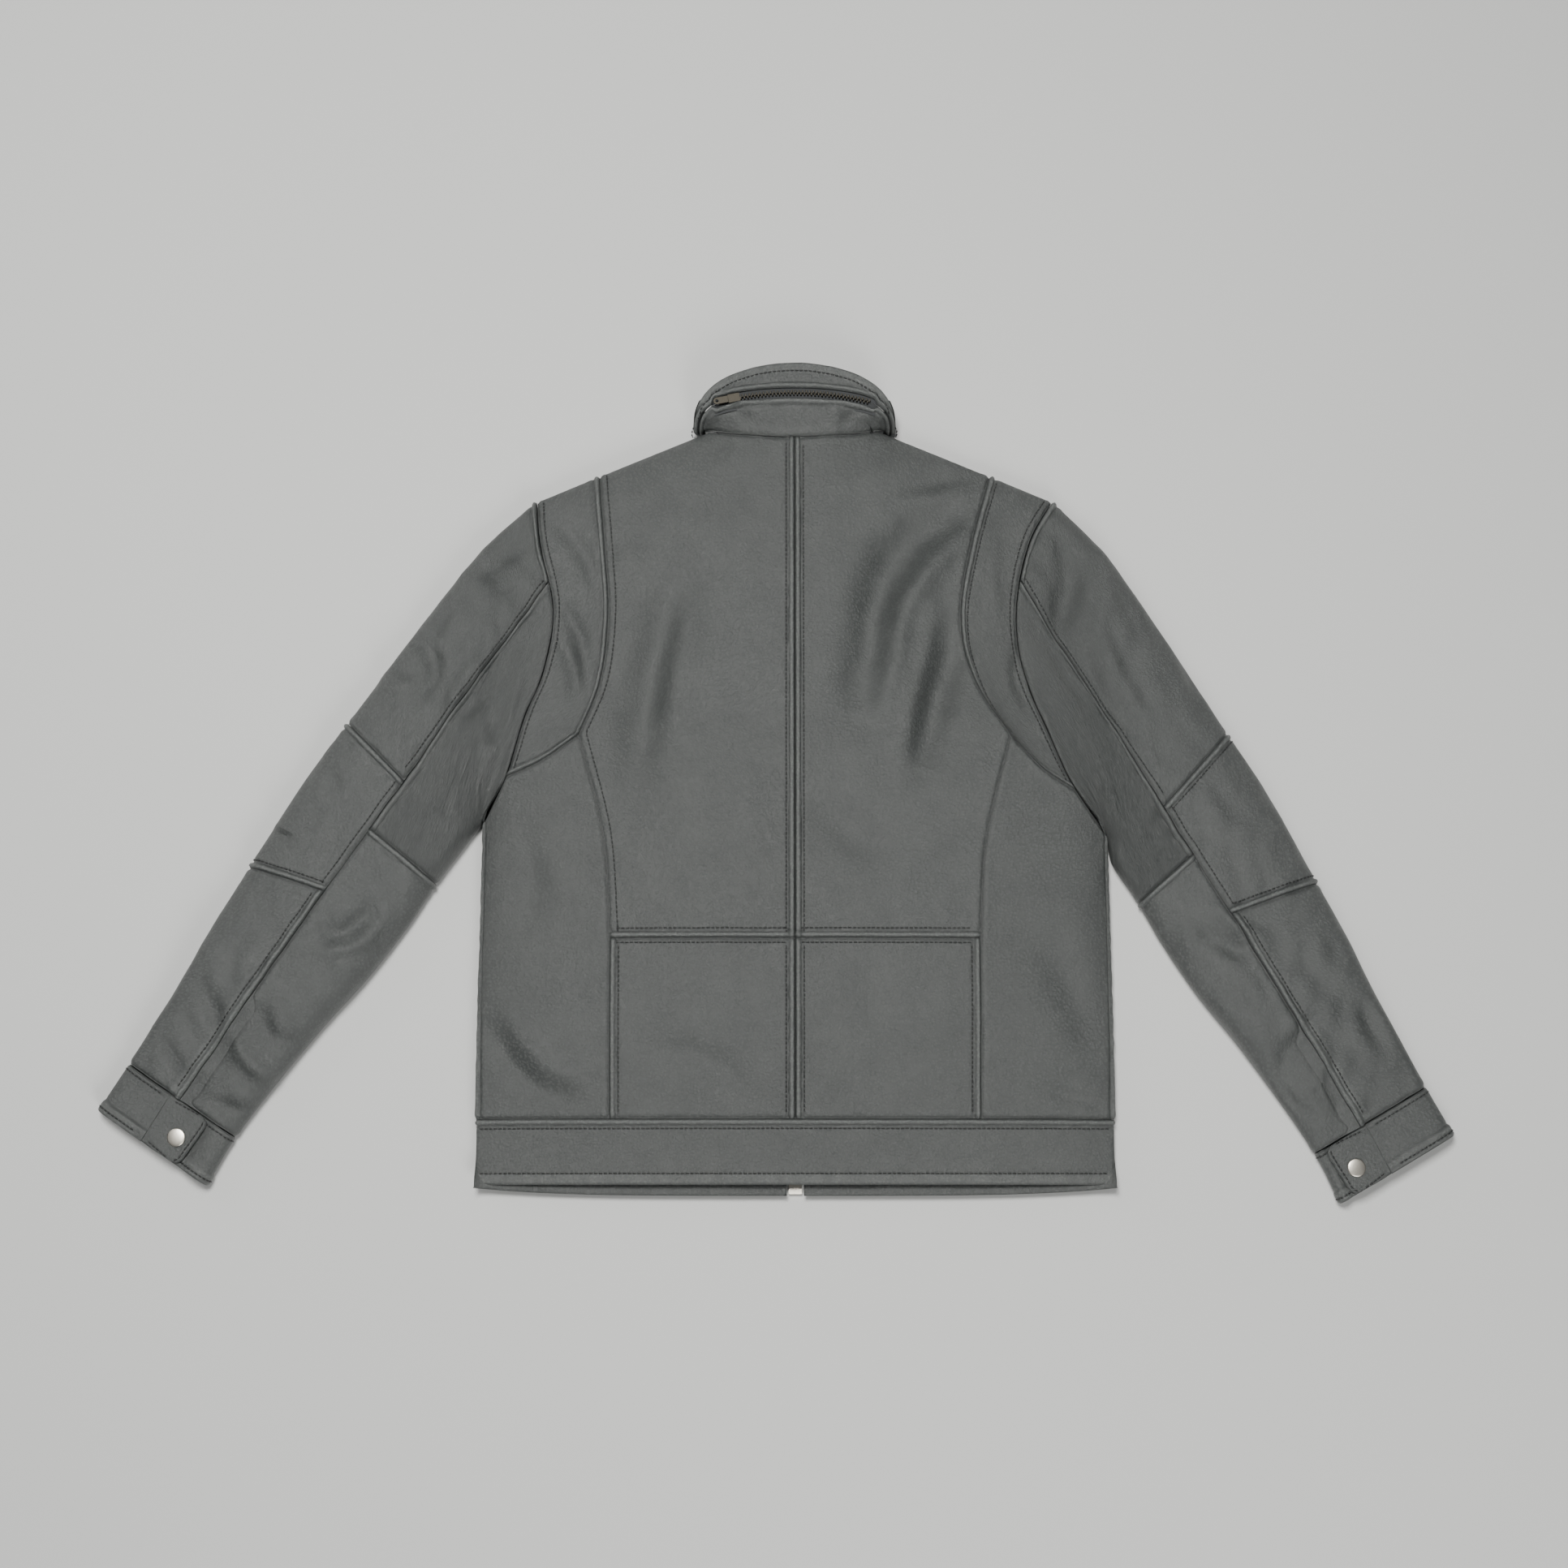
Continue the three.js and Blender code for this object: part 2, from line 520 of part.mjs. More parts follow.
// ---- collar: a flattened ring, open at the centre front ----
const ZIP_SHARE = 0.84;         // the zip ends this far out towards the folds of the collar
const TEETH_CLEAR = 4.7;        // middle of the teeth to the leather edge on either side
const COLLAR_FOLD = BACK_LENGTH + NECK_RISE + 4;   // height in plan at which the collar edge turns over
function collarPoint(turn, h, depth) {
  const share = turn.share;
  const widening = turn.over || Math.abs(share) === 1 ? share : 0;
  const x = (NECK_HALF - depth) * share + (COLLAR_HALF - NECK_HALF) * h * widening;
  if (turn.over) {
    const edge = lerp(COLLAR_FOLD, BACK_LENGTH + COLLAR_HEIGHT, Math.sqrt(Math.max(0, 1 - share ** 2)));
    const y = lerp(neckBack(share)[1], edge, h);
    const own = EDGE_HEIGHT + (COLLAR_TOP - EDGE_HEIGHT - depth) * crown(share, 12, 2.5);
    const seamHeight = backHeight(NECK_HALF * share, neckBack(share)[1], depth);
    return [x, y, Math.abs(share) === 1 ? EDGE_HEIGHT : lerp(seamHeight, own, smooth(h / 0.4))];
  }
  const edge = lerp(BACK_LENGTH - 12, COLLAR_FOLD, Math.abs(share) ** 1.6);
  const y = lerp(neckFront(share)[1], edge, h);
  return [x, y, EDGE_HEIGHT - (EDGE_HEIGHT - depth) * crown(share, 16, 2)];
}
const backTurn = [...NECK_SHARES.map((share) => -share), ...[...NECK_SHARES].reverse().slice(1)]
  .map((share) => ({ share, over: true }));
const frontTurn = frontNeckShares.slice(1).map((share) => ({ share, over: false }));
const otherFront = [...frontTurn].reverse().map(({ share }) => ({ share: -share, over: false }));
const collarTurns = [...otherFront, ...backTurn, ...frontTurn];

// low and high are each a share of the collar height and a distance in mm that is added to it.
function collarSheet(turns, low, high, rows, from, thickness) {
  return bentSheet(turns.length - 1, rows, (column, row, depth) => {
    const below = from + depth * thickness;
    const turn = turns[column];
    const whole = distance(collarPoint(turn, 0, below), collarPoint(turn, 1, below));
    const at = ([share, extra]) => share + extra(turn) / whole;
    return collarPoint(turn, lerp(at(low), at(high), row / rows), below);
  });
}
const fixed = (amount) => () => amount;
const alongZip = (turn) => turn.over && Math.abs(turn.share) <= ZIP_SHARE;
const zipClear = (turn) => (alongZip(turn) ? TEETH_CLEAR : SEAM_GAP);
const standTop = [COLLAR_ZIP_AT, (turn) => -zipClear(turn)];
const neckClear = (turn) => (turn.over && Math.abs(turn.share) < 1 ? SEAM_GAP : 6 * SEAM_GAP);
add('collar_stand', collarSheet(collarTurns, [0, neckClear], standTop, 3, 0, LEATHER), leather());
add('collar_band', collarSheet(collarTurns, [COLLAR_ZIP_AT, zipClear], [1, fixed(0)], 2, 0, LEATHER), leather());

// Collar zip: the tapes lie behind the leather edges, the teeth on them along an arc.
const zipTurns = backTurn.filter(alongZip);
const COLLAR_TAPE_DEPTH = LEATHER + 0.8;
const TAPE_REACH = 9;
add('collar_zip_tape_lower', collarSheet(zipTurns, [COLLAR_ZIP_AT, fixed(-TAPE_REACH)],
  [COLLAR_ZIP_AT, fixed(-0.5 * SEAM_GAP)], 1, COLLAR_TAPE_DEPTH, TAPE), tapeCloth());
add('collar_zip_tape_upper', collarSheet(zipTurns, [COLLAR_ZIP_AT, fixed(0.5 * SEAM_GAP)],
  [COLLAR_ZIP_AT, fixed(TAPE_REACH)], 1, COLLAR_TAPE_DEPTH, TAPE), tapeCloth());

const zipMiddle = collarPoint({ share: 0, over: true }, COLLAR_ZIP_AT, 0);
const zipEnd = collarPoint({ share: 0.92 * ZIP_SHARE, over: true }, COLLAR_ZIP_AT, 0);
const zipSag = zipMiddle[1] - zipEnd[1];
const ZIP_RADIUS = (zipEnd[0] ** 2 + zipSag ** 2) / (2 * zipSag);
const zipCentreY = zipMiddle[1] - ZIP_RADIUS;
const zipHalfAngle = Math.asin(zipEnd[0] / ZIP_RADIUS);
const CHAIN_TOP = COLLAR_TOP + 0.5;
const onArc = (angle, radius, z) => [radius * Math.sin(angle), zipCentreY + radius * Math.cos(angle), z];
add('collar_zip_teeth', bentSheet(16, 1, (column, row, depth) => onArc(
  lerp(-zipHalfAngle, zipHalfAngle, column / 16), ZIP_RADIUS + (row - 0.5) * CHAIN_WIDTH,
  CHAIN_TOP - depth * CHAIN_HEIGHT)), steel());

// A slider is a plate over the teeth with a lip down each side of them. It is built lying along +X.
function sliderGeometry(length, lipDrop) {
  const half = 0.5 * CHAIN_WIDTH;
  const outline = new THREE.Shape();
  const plate = 1.1;
  const lip = 1;
  const clear = 0.3;
  outline.moveTo(-half - clear - lip, -lipDrop);
  outline.lineTo(-half - clear, -lipDrop);
  outline.lineTo(-half - clear, 0);
  outline.lineTo(half + clear, 0);
  outline.lineTo(half + clear, -lipDrop);
  outline.lineTo(half + clear + lip, -lipDrop);
  outline.lineTo(half + clear + lip, plate);
  outline.lineTo(-half - clear - lip, plate);
  outline.closePath();
  const geometry = new THREE.ExtrudeGeometry(outline, { depth: length, bevelEnabled: false });
  geometry.rotateX(Math.PI / 2);
  geometry.rotateZ(Math.PI / 2);
  geometry.translate(-length / 2, 0, 0);
  return closed(geometry);
}
// A pull is a flat bar with a round end and a hole for the fingers. It is built lying along +X from the hinge.
function pullGeometry(length, width, thick) {
  const outline = new THREE.Shape();
  outline.moveTo(0, -width / 2);
  outline.lineTo(length - width / 2, -width / 2);
  outline.absarc(length - width / 2, 0, width / 2, -Math.PI / 2, Math.PI / 2, false);
  outline.lineTo(0, width / 2);
  outline.closePath();
  const hole = new THREE.Path();
  hole.absarc(length - width / 2, 0, width / 4, 0, 2 * Math.PI, true);
  outline.holes.push(hole);
  const geometry = new THREE.ExtrudeGeometry(outline, { depth: thick, bevelEnabled: false, curveSegments: 6 });
  return closed(geometry);
}

const COLLAR_SLIDER_AT = -zipHalfAngle + 0.05;
const PLATE_CLEAR = 0.3;
const collarSlider = new THREE.Group();
collarSlider.position.set(...onArc(COLLAR_SLIDER_AT, ZIP_RADIUS, CHAIN_TOP + PLATE_CLEAR));
collarSlider.rotation.z = Math.PI - COLLAR_SLIDER_AT;
jacket.add(collarSlider);
add('collar_zip_slider', sliderGeometry(SLIDER_LENGTH * 0.8, 1.4), steel(), collarSlider);
const COLLAR_PULL = 13;
const collarPull = add('collar_zip_pull', pullGeometry(COLLAR_PULL, 6, 1), steel(), collarSlider);
collarPull.position.set(SLIDER_LENGTH * 0.4 + 0.3, 0, 0.3);

// ---- front zip, on the floor side ----
const ZIP_LOW = 8;                              // the tapes and teeth start just above the front hem
const BOX_FLOOR = 0.4;
const ZIP_HIGH = BACK_LENGTH - FRONT_NECK_DROP - 4;
const FRONT_CHAIN_LOW = 1.5;                    // height of the underside of the teeth
function flatBar(x0, x1, y0, y1, z0, z1) {
  const geometry = new THREE.BoxGeometry(x1 - x0, y1 - y0, z1 - z0);
  geometry.translate(0.5 * (x0 + x1), 0.5 * (y0 + y1), 0.5 * (z0 + z1));
  return closed(geometry);
}
const TAPE_LOW = LEATHER + 0.35;
const halfChain = 0.5 * CHAIN_WIDTH;
for (const side of SIDES) {
  const [near, far] = [halfChain + 0.3, halfChain + 0.3 + ZIP_TAPE];
  const [x0, x1] = side.sign > 0 ? [near, far] : [-far, -near];
  const tape = flatBar(x0, x1, ZIP_LOW, ZIP_HIGH, TAPE_LOW, TAPE_LOW + TAPE);
  add(`front_zip_tape_${side.name}`, tape, tapeCloth());
}
add('front_zip_teeth', flatBar(-halfChain, halfChain, ZIP_LOW, ZIP_HIGH, FRONT_CHAIN_LOW,
  FRONT_CHAIN_LOW + CHAIN_HEIGHT), steel());
const BOX_WIDTH = 11;                           // block that joins the lower ends of both tapes
const BOX_LENGTH = 15;
const BOX_HEIGHT = 4;
const boxTop = ZIP_LOW - 0.3;
add('front_zip_end_box', flatBar(-0.5 * BOX_WIDTH, 0.5 * BOX_WIDTH, boxTop - BOX_LENGTH, boxTop, BOX_FLOOR,
  BOX_FLOOR + BOX_HEIGHT), steel());
const FRONT_SLIDER_AT = ZIP_HIGH - 0.5 * SLIDER_LENGTH - 1;
const frontSlider = new THREE.Group();
frontSlider.position.set(0, FRONT_SLIDER_AT, FRONT_CHAIN_LOW - PLATE_CLEAR);
frontSlider.rotation.set(Math.PI, 0, Math.PI / 2);
jacket.add(frontSlider);
add('front_zip_slider', sliderGeometry(SLIDER_LENGTH, 0.55), steel(), frontSlider);
const FRONT_PULL = 26;
const frontPull = add('front_zip_pull', pullGeometry(FRONT_PULL, 7, 0.8), steel(), frontSlider);
frontPull.position.set(SLIDER_LENGTH / 2 + 0.3, 0, 0.35);

// ---- sleeves ----
SIDES.forEach((side, index) => {
  const sleeve = sleeves[index];
  const seamShare = (s) => sleeve.shareAt(s, side.seam);
  const outerAround = [...OUTER_SHARES].reverse().concat(OUTER_SHARES.slice(1).map((share) => -share));
  const underAround = [...UNDER_SHARES, ...[...UNDER_SHARES].reverse().slice(1).map((share) => -1 - share)];
  const seamClear = 0.5 * SEAM_GAP / SLEEVE_WIDTH;
  const outerTurn = (s, column) => {
    const share = outerAround[column];
    return share * (seamShare(s) - seamClear);
  };
  const underTurn = (s, column) => {
    const share = underAround[column];
    const own = share < 0 ? -1 - share : share;
    const q = lerp(seamShare(s) + seamClear, 1, own);
    return share < 0 ? -q : q;
  };
  const outerSheet = (sections, from = 0, thick = LEATHER) =>
    sleeveSheet(sleeve, sections, outerAround.length - 1, outerTurn, from, thick);
  const underSheet = (sections, from = 0, thick = LEATHER) =>
    sleeveSheet(sleeve, sections, underAround.length - 1, underTurn, from, thick);
  const UPPER = [0, 0.3, 0.7, 1.2, 1.8, 2.4, PATCH_TOP];
  const UPPER_UNDER = [...UPPER, 3.5, ELBOW];
  const LOWER = [PATCH_END, 5.5, 6, 6.6, 7.3, CUFF_TOP];
  const LOWER_UNDER = [ELBOW, 4.5, ...LOWER];
  add(`sleeve_upper_outer_${side.name}`, outerSheet(UPPER), leather());
  add(`sleeve_upper_under_${side.name}`, underSheet(UPPER_UNDER), leather());
  add(`elbow_patch_${side.name}`, outerSheet([PATCH_TOP, 3.5, ELBOW, 4.5, PATCH_END]), leather());
  add(`sleeve_lower_outer_${side.name}`, outerSheet(LOWER), leather());
  add(`sleeve_lower_under_${side.name}`, underSheet(LOWER_UNDER), leather());

  // Lining: a sheet rolled into a tube, its long edges meeting below the front seam.
  const underCount = underAround.length;
  const liningTurn = (s, column) => (column < underCount
    ? underTurn(s, underCount - 1 - column) : outerTurn(s, column - underCount + 1));
  const liningColumns = underCount + outerAround.length - 2;
  const liningSheet = (sections) =>
    sleeveSheet(sleeve, sections, liningColumns, liningTurn, LEATHER + SLEEVE_LAYER_GAP, LINING);
  add(`sleeve_lining_upper_${side.name}`, liningSheet(UPPER_UNDER), cloth());
  add(`sleeve_lining_lower_${side.name}`, liningSheet(LOWER_UNDER), cloth());

  // Cuff band: from below the tab round the inner edge, the front and the outer edge to the tab's hinge line.
  const hingeShare = (side.tabEnd - TAB_FLAP) / CUFF_WIDTH;
  const tabShare = side.tabEnd / CUFF_WIDTH;
  const sunk = LEATHER + TAB_RAISE;
  const underEnd = hingeShare + 4 / CUFF_WIDTH;
  const bandStops = [
    [underEnd, sunk], [lerp(underEnd, tabShare, 0.5), sunk], [tabShare, sunk],
    [lerp(tabShare, 1, 0.3), 0.3 * sunk], [lerp(tabShare, 1, 0.6), 0],
    ...[0.98, 1, -0.98, -0.9, -0.5, -0.1, -0.02, 0, 0.02, 0.1, 0.5 * hingeShare, hingeShare].map((q) => [q, 0]),
  ];
  const cuffPoint = (s, q, depth, extra) => {
    const point = sleeve.place(s, q, depth);
    return [point[0], point[1], point[2] - extra];
  };
  const cuffRows = [CUFF_TOP + 0.012, CUFF_TOP + 0.5, CUFF_END];
  add(`cuff_band_${side.name}`, bentSheet(bandStops.length - 1, 2, (column, row, depth) => {
    const [q, extra] = bandStops[column];
    return cuffPoint(cuffRows[row], q, depth * LEATHER, extra);
  }), leather());

  // The tab is a flat flap with round corners, and carries the snap's cap and socket.
  const across = (share) => sleeve.flat(CUFF_END, share)[1];
  const flap = across(tabShare) - across(hingeShare) - 0.3;
  const tabDepth = CUFF_DEPTH - 1;
  const corner = 5;
  const outline = new THREE.Shape();
  outline.moveTo(0, 0);
  outline.lineTo(flap - corner, 0);
  outline.absarc(flap - corner, corner, corner, -Math.PI / 2, 0, false);
  outline.lineTo(flap, tabDepth - corner);
  outline.absarc(flap - corner, tabDepth - corner, corner, 0, Math.PI / 2, false);
  outline.lineTo(0, tabDepth);
  outline.closePath();
  const flapShape = { depth: LEATHER, bevelEnabled: false, curveSegments: 4 };
  const tabGeometry = new THREE.ExtrudeGeometry(outline, flapShape);
  const placer = new THREE.Group();
  const angle = THREE.MathUtils.degToRad(side.lay);
  const base = sleeve.toPlan([SLEEVE_LENGTH - 0.3, across(hingeShare) + 0.3]);
  placer.position.set(side.sign * (base[0] + ARMHOLE_GAP), base[1], CUFF_HEIGHT - LEATHER);
  // Local x runs across the sleeve towards the body, local y from the cuff edge up the sleeve.
  const acrossX = new THREE.Vector3(-side.sign * Math.cos(angle), -Math.sin(angle), 0);
  const upSleeve = new THREE.Vector3(-side.sign * Math.sin(angle), Math.cos(angle), 0);
  const up = new THREE.Vector3().crossVectors(acrossX, upSleeve);
  const flipY = up.z < 0 ? -1 : 1;
  placer.quaternion.setFromRotationMatrix(new THREE.Matrix4().makeBasis(acrossX,
    upSleeve.clone().multiplyScalar(flipY), new THREE.Vector3(0, 0, 1)));
  jacket.add(placer);
  if (flipY < 0) {
    tabGeometry.translate(0, -tabDepth, 0);
  }
  add(`cuff_tab_${side.name}`, closed(tabGeometry), leather(), placer);

  const snapX = flap - SNAP_INSET;
  const snapY = flipY * 0.42 * tabDepth;
  const turned = (profile, segments) => {
    const geometry = new THREE.LatheGeometry(profile.map(([r, z]) => new THREE.Vector2(r, z)), segments);
    geometry.rotateX(Math.PI / 2);
    return closed(geometry);
  };
  const addSnap = (kind, profile, z) => {
    const mesh = add(`${kind}_${side.name}`, turned(profile, 24), steel(), placer);
    mesh.position.set(snapX, snapY, z);
  };
  const SOCKET_HEIGHT = 1.3;
  const capRim = [SNAP_RADIUS, 0.7];
  const capTop = [0.5 * SNAP_RADIUS, 1.9];
  addSnap('snap_cap', [[0, 0], [SNAP_RADIUS, 0], capRim, [SNAP_RADIUS - 0.9, 1.5], capTop, [0, 2]],
    LEATHER + SNAP_CLEAR);
  addSnap('snap_socket', [[2.5, 0], [5.2, 0], [5.2, SOCKET_HEIGHT], [2.5, SOCKET_HEIGHT], [2.5, 0]],
    -SNAP_CLEAR - SOCKET_HEIGHT);
  addSnap('snap_stud', [[0, 0], [4.6, 0], [4.6, 0.5], [1.9, 0.5], [1.9, 1.9], [0, 1.9]],
    -TAB_RAISE + SNAP_CLEAR);
});

// ---- origin: middle of the bounding box, on the floor ----
const box = new THREE.Box3().setFromObject(jacket, true);
jacket.position.set(-0.5 * (box.min.x + box.max.x), -0.5 * (box.min.y + box.max.y), -box.min.z);

export default jacket;
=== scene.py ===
import math
from functools import cache

import bpy
import numpy as np
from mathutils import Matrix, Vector


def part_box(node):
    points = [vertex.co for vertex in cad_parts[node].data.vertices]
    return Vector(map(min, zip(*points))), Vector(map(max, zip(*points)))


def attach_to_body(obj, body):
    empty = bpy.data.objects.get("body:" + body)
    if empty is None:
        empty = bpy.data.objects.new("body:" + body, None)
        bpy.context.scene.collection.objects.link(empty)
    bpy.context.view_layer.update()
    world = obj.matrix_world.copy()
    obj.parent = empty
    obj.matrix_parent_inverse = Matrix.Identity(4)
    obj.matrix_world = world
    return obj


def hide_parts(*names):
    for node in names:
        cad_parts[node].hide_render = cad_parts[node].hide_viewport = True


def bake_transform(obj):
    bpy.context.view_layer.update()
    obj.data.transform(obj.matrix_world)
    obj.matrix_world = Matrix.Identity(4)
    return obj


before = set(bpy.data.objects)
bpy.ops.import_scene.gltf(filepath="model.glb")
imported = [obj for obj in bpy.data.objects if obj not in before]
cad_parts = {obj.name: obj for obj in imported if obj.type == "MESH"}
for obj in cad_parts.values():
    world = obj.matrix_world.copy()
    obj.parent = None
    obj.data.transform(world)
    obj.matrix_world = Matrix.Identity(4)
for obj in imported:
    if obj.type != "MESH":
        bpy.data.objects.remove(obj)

bl_info = {
    "name": "Leather Jacket Lying Flat",
    "version": (1, 0, 0),
    "blender": (4, 5, 0),
    "location": "View3D > Sidebar > Jacket",
    "description": "Builds a leather jacket lying on its front, with sewn panels, zips and snap tabs",
    "category": "Add Mesh",
}

# Lengths in this file are millimetres in the hem frame: x = 0 at the centre back, y = 0 at the back hem,
# z = 0 on the floor. on_frame() turns them to the row frame in metres.
HEM_LOW, HEM_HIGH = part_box("waistband_back")
SHIFT = np.array([500 * (HEM_LOW.x + HEM_HIGH.x), 1000 * HEM_LOW.y - 0.2, 0.0])
LEATHER = 1.6
SEAM_GAP = 0.4
BODY_HALF = 268.0
BACK_LENGTH = 652.0
WAISTBAND = 54.0
FRONT_DROP = 9.0
LOWER_BACK = 204.0
SIDE_LOW = 155.0
SIDE_TOP = 186.0
TIP = np.array([229.0, 598.0])
ARMHOLE = 296.0
NECK_HALF = 80.0
NECK_RISE = 10.0
FRONT_NECK_DROP = 77.0
COLLAR_HALF = 90.0
COLLAR_HEIGHT = 67.0
COLLAR_ZIP_AT = 0.575
COLLAR_FOLD = BACK_LENGTH + NECK_RISE + 4
BODY_HEIGHT = 38.0
HEM_HEIGHT = 18.0
COLLAR_TOP = 38.0
EDGE_HEIGHT = 8.0
ROUND_FROM = TIP[1] - 0.57 * ARMHOLE
HEM_RISE = 0.3 * BACK_LENGTH - 40
SLEEVE_LENGTH = 643.0
SLEEVE_WIDTH = 147.0
CUFF_WIDTH = 113.0
CUFF_DEPTH = 46.0
CUFF_HEIGHT = 20.0
SLEEVE_HEIGHT = 34.0
ELBOW_BOW = 22.0
ARMHOLE_GAP = 0.8
TAB_FLAP = 38.0
TAB_RAISE = 2.8
FRONT_EDGE = 7.0
ZIP_SHARE = 0.84
TEETH_CLEAR = 4.7
TOOTH_PITCH = 1.55
TAPE_WIDTH = 10.4               # reach of each collar tape from the middle of the zip
CLOTH = 0.8                     # thickness of the lining
BACK_DEPTH, FRONT_DEPTH, SLEEVE_DEPTH = 6.0, 3.8, 3.6    # of the linings below the lying surface
ROW = 7.5                       # distance of a row of stitches from a beaded edge
YOKE_TOP = 0.76 * TIP[0]        # where the shoulder panel's seam meets the shoulder line
CUFF_FROM = 8.012               # section at which the cuff band starts, just clear of the sleeve
CAP_RAISE = 0.6                 # how far the snap caps stand up, clear of the tabs' bowed leather
TAB_BEND = 14.0                 # length of the tab that bends beside its hinge
UPPER_BEND = (1.0, 38.0)        # stretch that bends at the armhole, outward from the body's side
ELBOW_BEND = (350.0, 470.0)     # stretch that bends at the elbow, along the sleeve
STITCH_RISE = 0.3               # how far the thread stands above the leather
FOLD_POINTS = 9                 # points along each fold's line
FOLD_GAIN = 2.2
FOLD_TAPER = (0.15, 3.4, 0.8)   # height of a fold at its ends, its swell to the middle, and the taper's power
FLOOR_HALF = 40000.0
AIM = (-9.4, 338.4, 25.0)       # the point that the camera and the lights look at
CAMERA_SPOT = (-9.4, -50.4, 1854.1)
# Each light's place in the row frame in metres, its power in watts and its width in metres.
LIGHTS = {"key": ((-0.3, 0.55, 2.5), 96, 0.8), "fill": ((0.7, -2.2, 1.6), 46, 1.1),
          "low": ((-1.9, 1.3, 1.0), 9, 1.2)}
UV_UNIT = 100.0                 # one unit of the surface map is 100 mm, so pattern scales are cells per 100 mm

SIDES = {
    "left": {"sign": -1, "lay": 33.5, "push": 9.0, "rise": 6.0, "seam": 55.0, "tab_end": 86.0},
    "right": {"sign": 1, "lay": 30.0, "push": -9.0, "rise": -6.0, "seam": 67.0, "tab_end": 103.0},
}

# Soft folds of the lying back and sleeves: a line in plan, its half width and its height (valleys negative).
FOLDS = [
    ([(166, 622), (116, 611), (92, 600)], 11, -2.6),
    ([(156, 587), (114, 565), (88, 539), (77, 517), (69, 483), (65, 455), (58, 427), (52, 400)], 20, -7.5),
    ([(154, 572), (113, 521), (90, 483), (85, 446), (76, 400)], 13, 4.6),
    ([(137, 485), (135, 446), (122, 409), (108, 350)], 16, -6.5),
    ([(120, 492), (112, 446), (100, 400), (92, 352)], 9, 2.2),
    ([(14, 322), (48, 296), (83, 271)], 18, -2.4),
    ([(-80, 528), (-106, 502), (-116, 464), (-125, 427), (-132, 372), (-137, 330)], 20, -6.5),
    ([(-95, 520), (-98, 470), (-106, 420), (-110, 370)], 15, 3.0),
    ([(-212, 578), (-189, 551), (-178, 528), (-172, 502)], 8, -2.0),
    ([(-205, 470), (-192, 440), (-190, 410)], 7, -2.4),
    ([(-204, 500), (-184, 462), (-180, 430)], 6, 1.8),
    ([(-262, 132), (-223, 84), (-180, 66)], 9, -2.2),
    ([(-248, 150), (-214, 104), (-176, 84)], 8, 1.7),
    ([(-129, 113), (-81, 106), (-34, 73)], 12, -1.8),
    ([(56, 191), (74, 125), (85, 93)], 14, -1.4),
    ([(205, 205), (228, 170), (250, 110)], 18, -2.4),
    ([(190, 90), (225, 74), (256, 70)], 6, -1.2),
    ([(-240, 300), (-225, 250), (-240, 200)], 15, -2.2),
    ([(236, 552), (240, 520), (232, 484), (226, 455)], 12, -5.0),
    ([(226, 455), (246, 420), (262, 388)], 9, -3.2),
    ([(262, 560), (270, 520), (262, 480)], 12, 2.0),
    ([(176, 560), (170, 520), (176, 470)], 8, 1.6),
    ([(196, 470), (192, 430), (206, 398)], 6, -2.0),
    # collar stand
    ([(-74, 666), (-54, 673), (-36, 664)], 5, -3.4),
    ([(-72, 676), (-52, 682), (-30, 680)], 4, 2.2),
    ([(40, 664), (60, 673), (76, 667)], 5, -3.0),
    ([(30, 678), (52, 683), (70, 676)], 4, 2.0),
    # left sleeve
    ([(-232, 560), (-252, 548), (-276, 520)], 9, -2.2),
    ([(-330, 470), (-312, 440), (-322, 412)], 8, -3.0),
    ([(-362, 436), (-340, 424), (-322, 428)], 7, 1.8),
    ([(-300, 500), (-318, 470), (-346, 462)], 7, -1.6),
    ([(-252, 470), (-262, 430), (-286, 392)], 8, -3.0),
    ([(-238, 440), (-246, 400), (-262, 362)], 6, 2.2),
    ([(-270, 452), (-292, 416), (-300, 372)], 7, 1.8),
    ([(-318, 372), (-330, 344), (-346, 330)], 6, -1.6),
    ([(-452, 300), (-436, 292), (-424, 284)], 3, -1.7),
    ([(-450, 306), (-434, 298), (-420, 290)], 3, 1.0),
    ([(-352, 236), (-372, 214), (-404, 204)], 7, -2.4),
    ([(-344, 224), (-366, 200), (-398, 190)], 5, 1.6),
    ([(-452, 150), (-440, 124), (-410, 108)], 8, -2.8),
    ([(-470, 130), (-456, 100), (-424, 84)], 6, 2.0),
    ([(-500, 160), (-486, 130), (-496, 96)], 9, -2.2),
    ([(-492, 70), (-468, 62), (-446, 60)], 5, -1.6),
    # right sleeve
    ([(246, 470), (256, 430), (282, 390)], 8, -3.2),
    ([(262, 488), (276, 440), (300, 396)], 8, 2.0),
    ([(310, 560), (322, 520), (346, 500)], 14, -2.4),
    ([(372, 470), (352, 440), (356, 410)], 10, -2.0),
    ([(300, 330), (318, 300), (346, 292)], 7, -2.0),
    ([(408, 330), (430, 322), (452, 326)], 8, -1.4),
    ([(340, 216), (366, 196), (392, 190)], 8, -2.2),
    ([(352, 232), (376, 212), (402, 204)], 6, 1.6),
    ([(430, 130), (410, 104), (420, 76)], 8, -2.6),
    ([(446, 110), (436, 84), (446, 60)], 5, 1.8),
    ([(402, 96), (410, 72), (436, 52)], 5, -1.8),
    ([(462, 170), (480, 140), (500, 100)], 10, -1.8),
]

STITCHES = {}                   # for each body, the sewn lines that its panels collect


# ---------------------------------------------------------------- small maths

def on_frame(points):
    """Hem-frame millimetres to row-frame metres."""
    return (np.asarray(points, float) + SHIFT) / 1000.0


def off_frame(corners):
    """Row-frame metres to hem-frame millimetres, for each corner given."""
    return [np.array(v) * 1000 - SHIFT for v in corners]


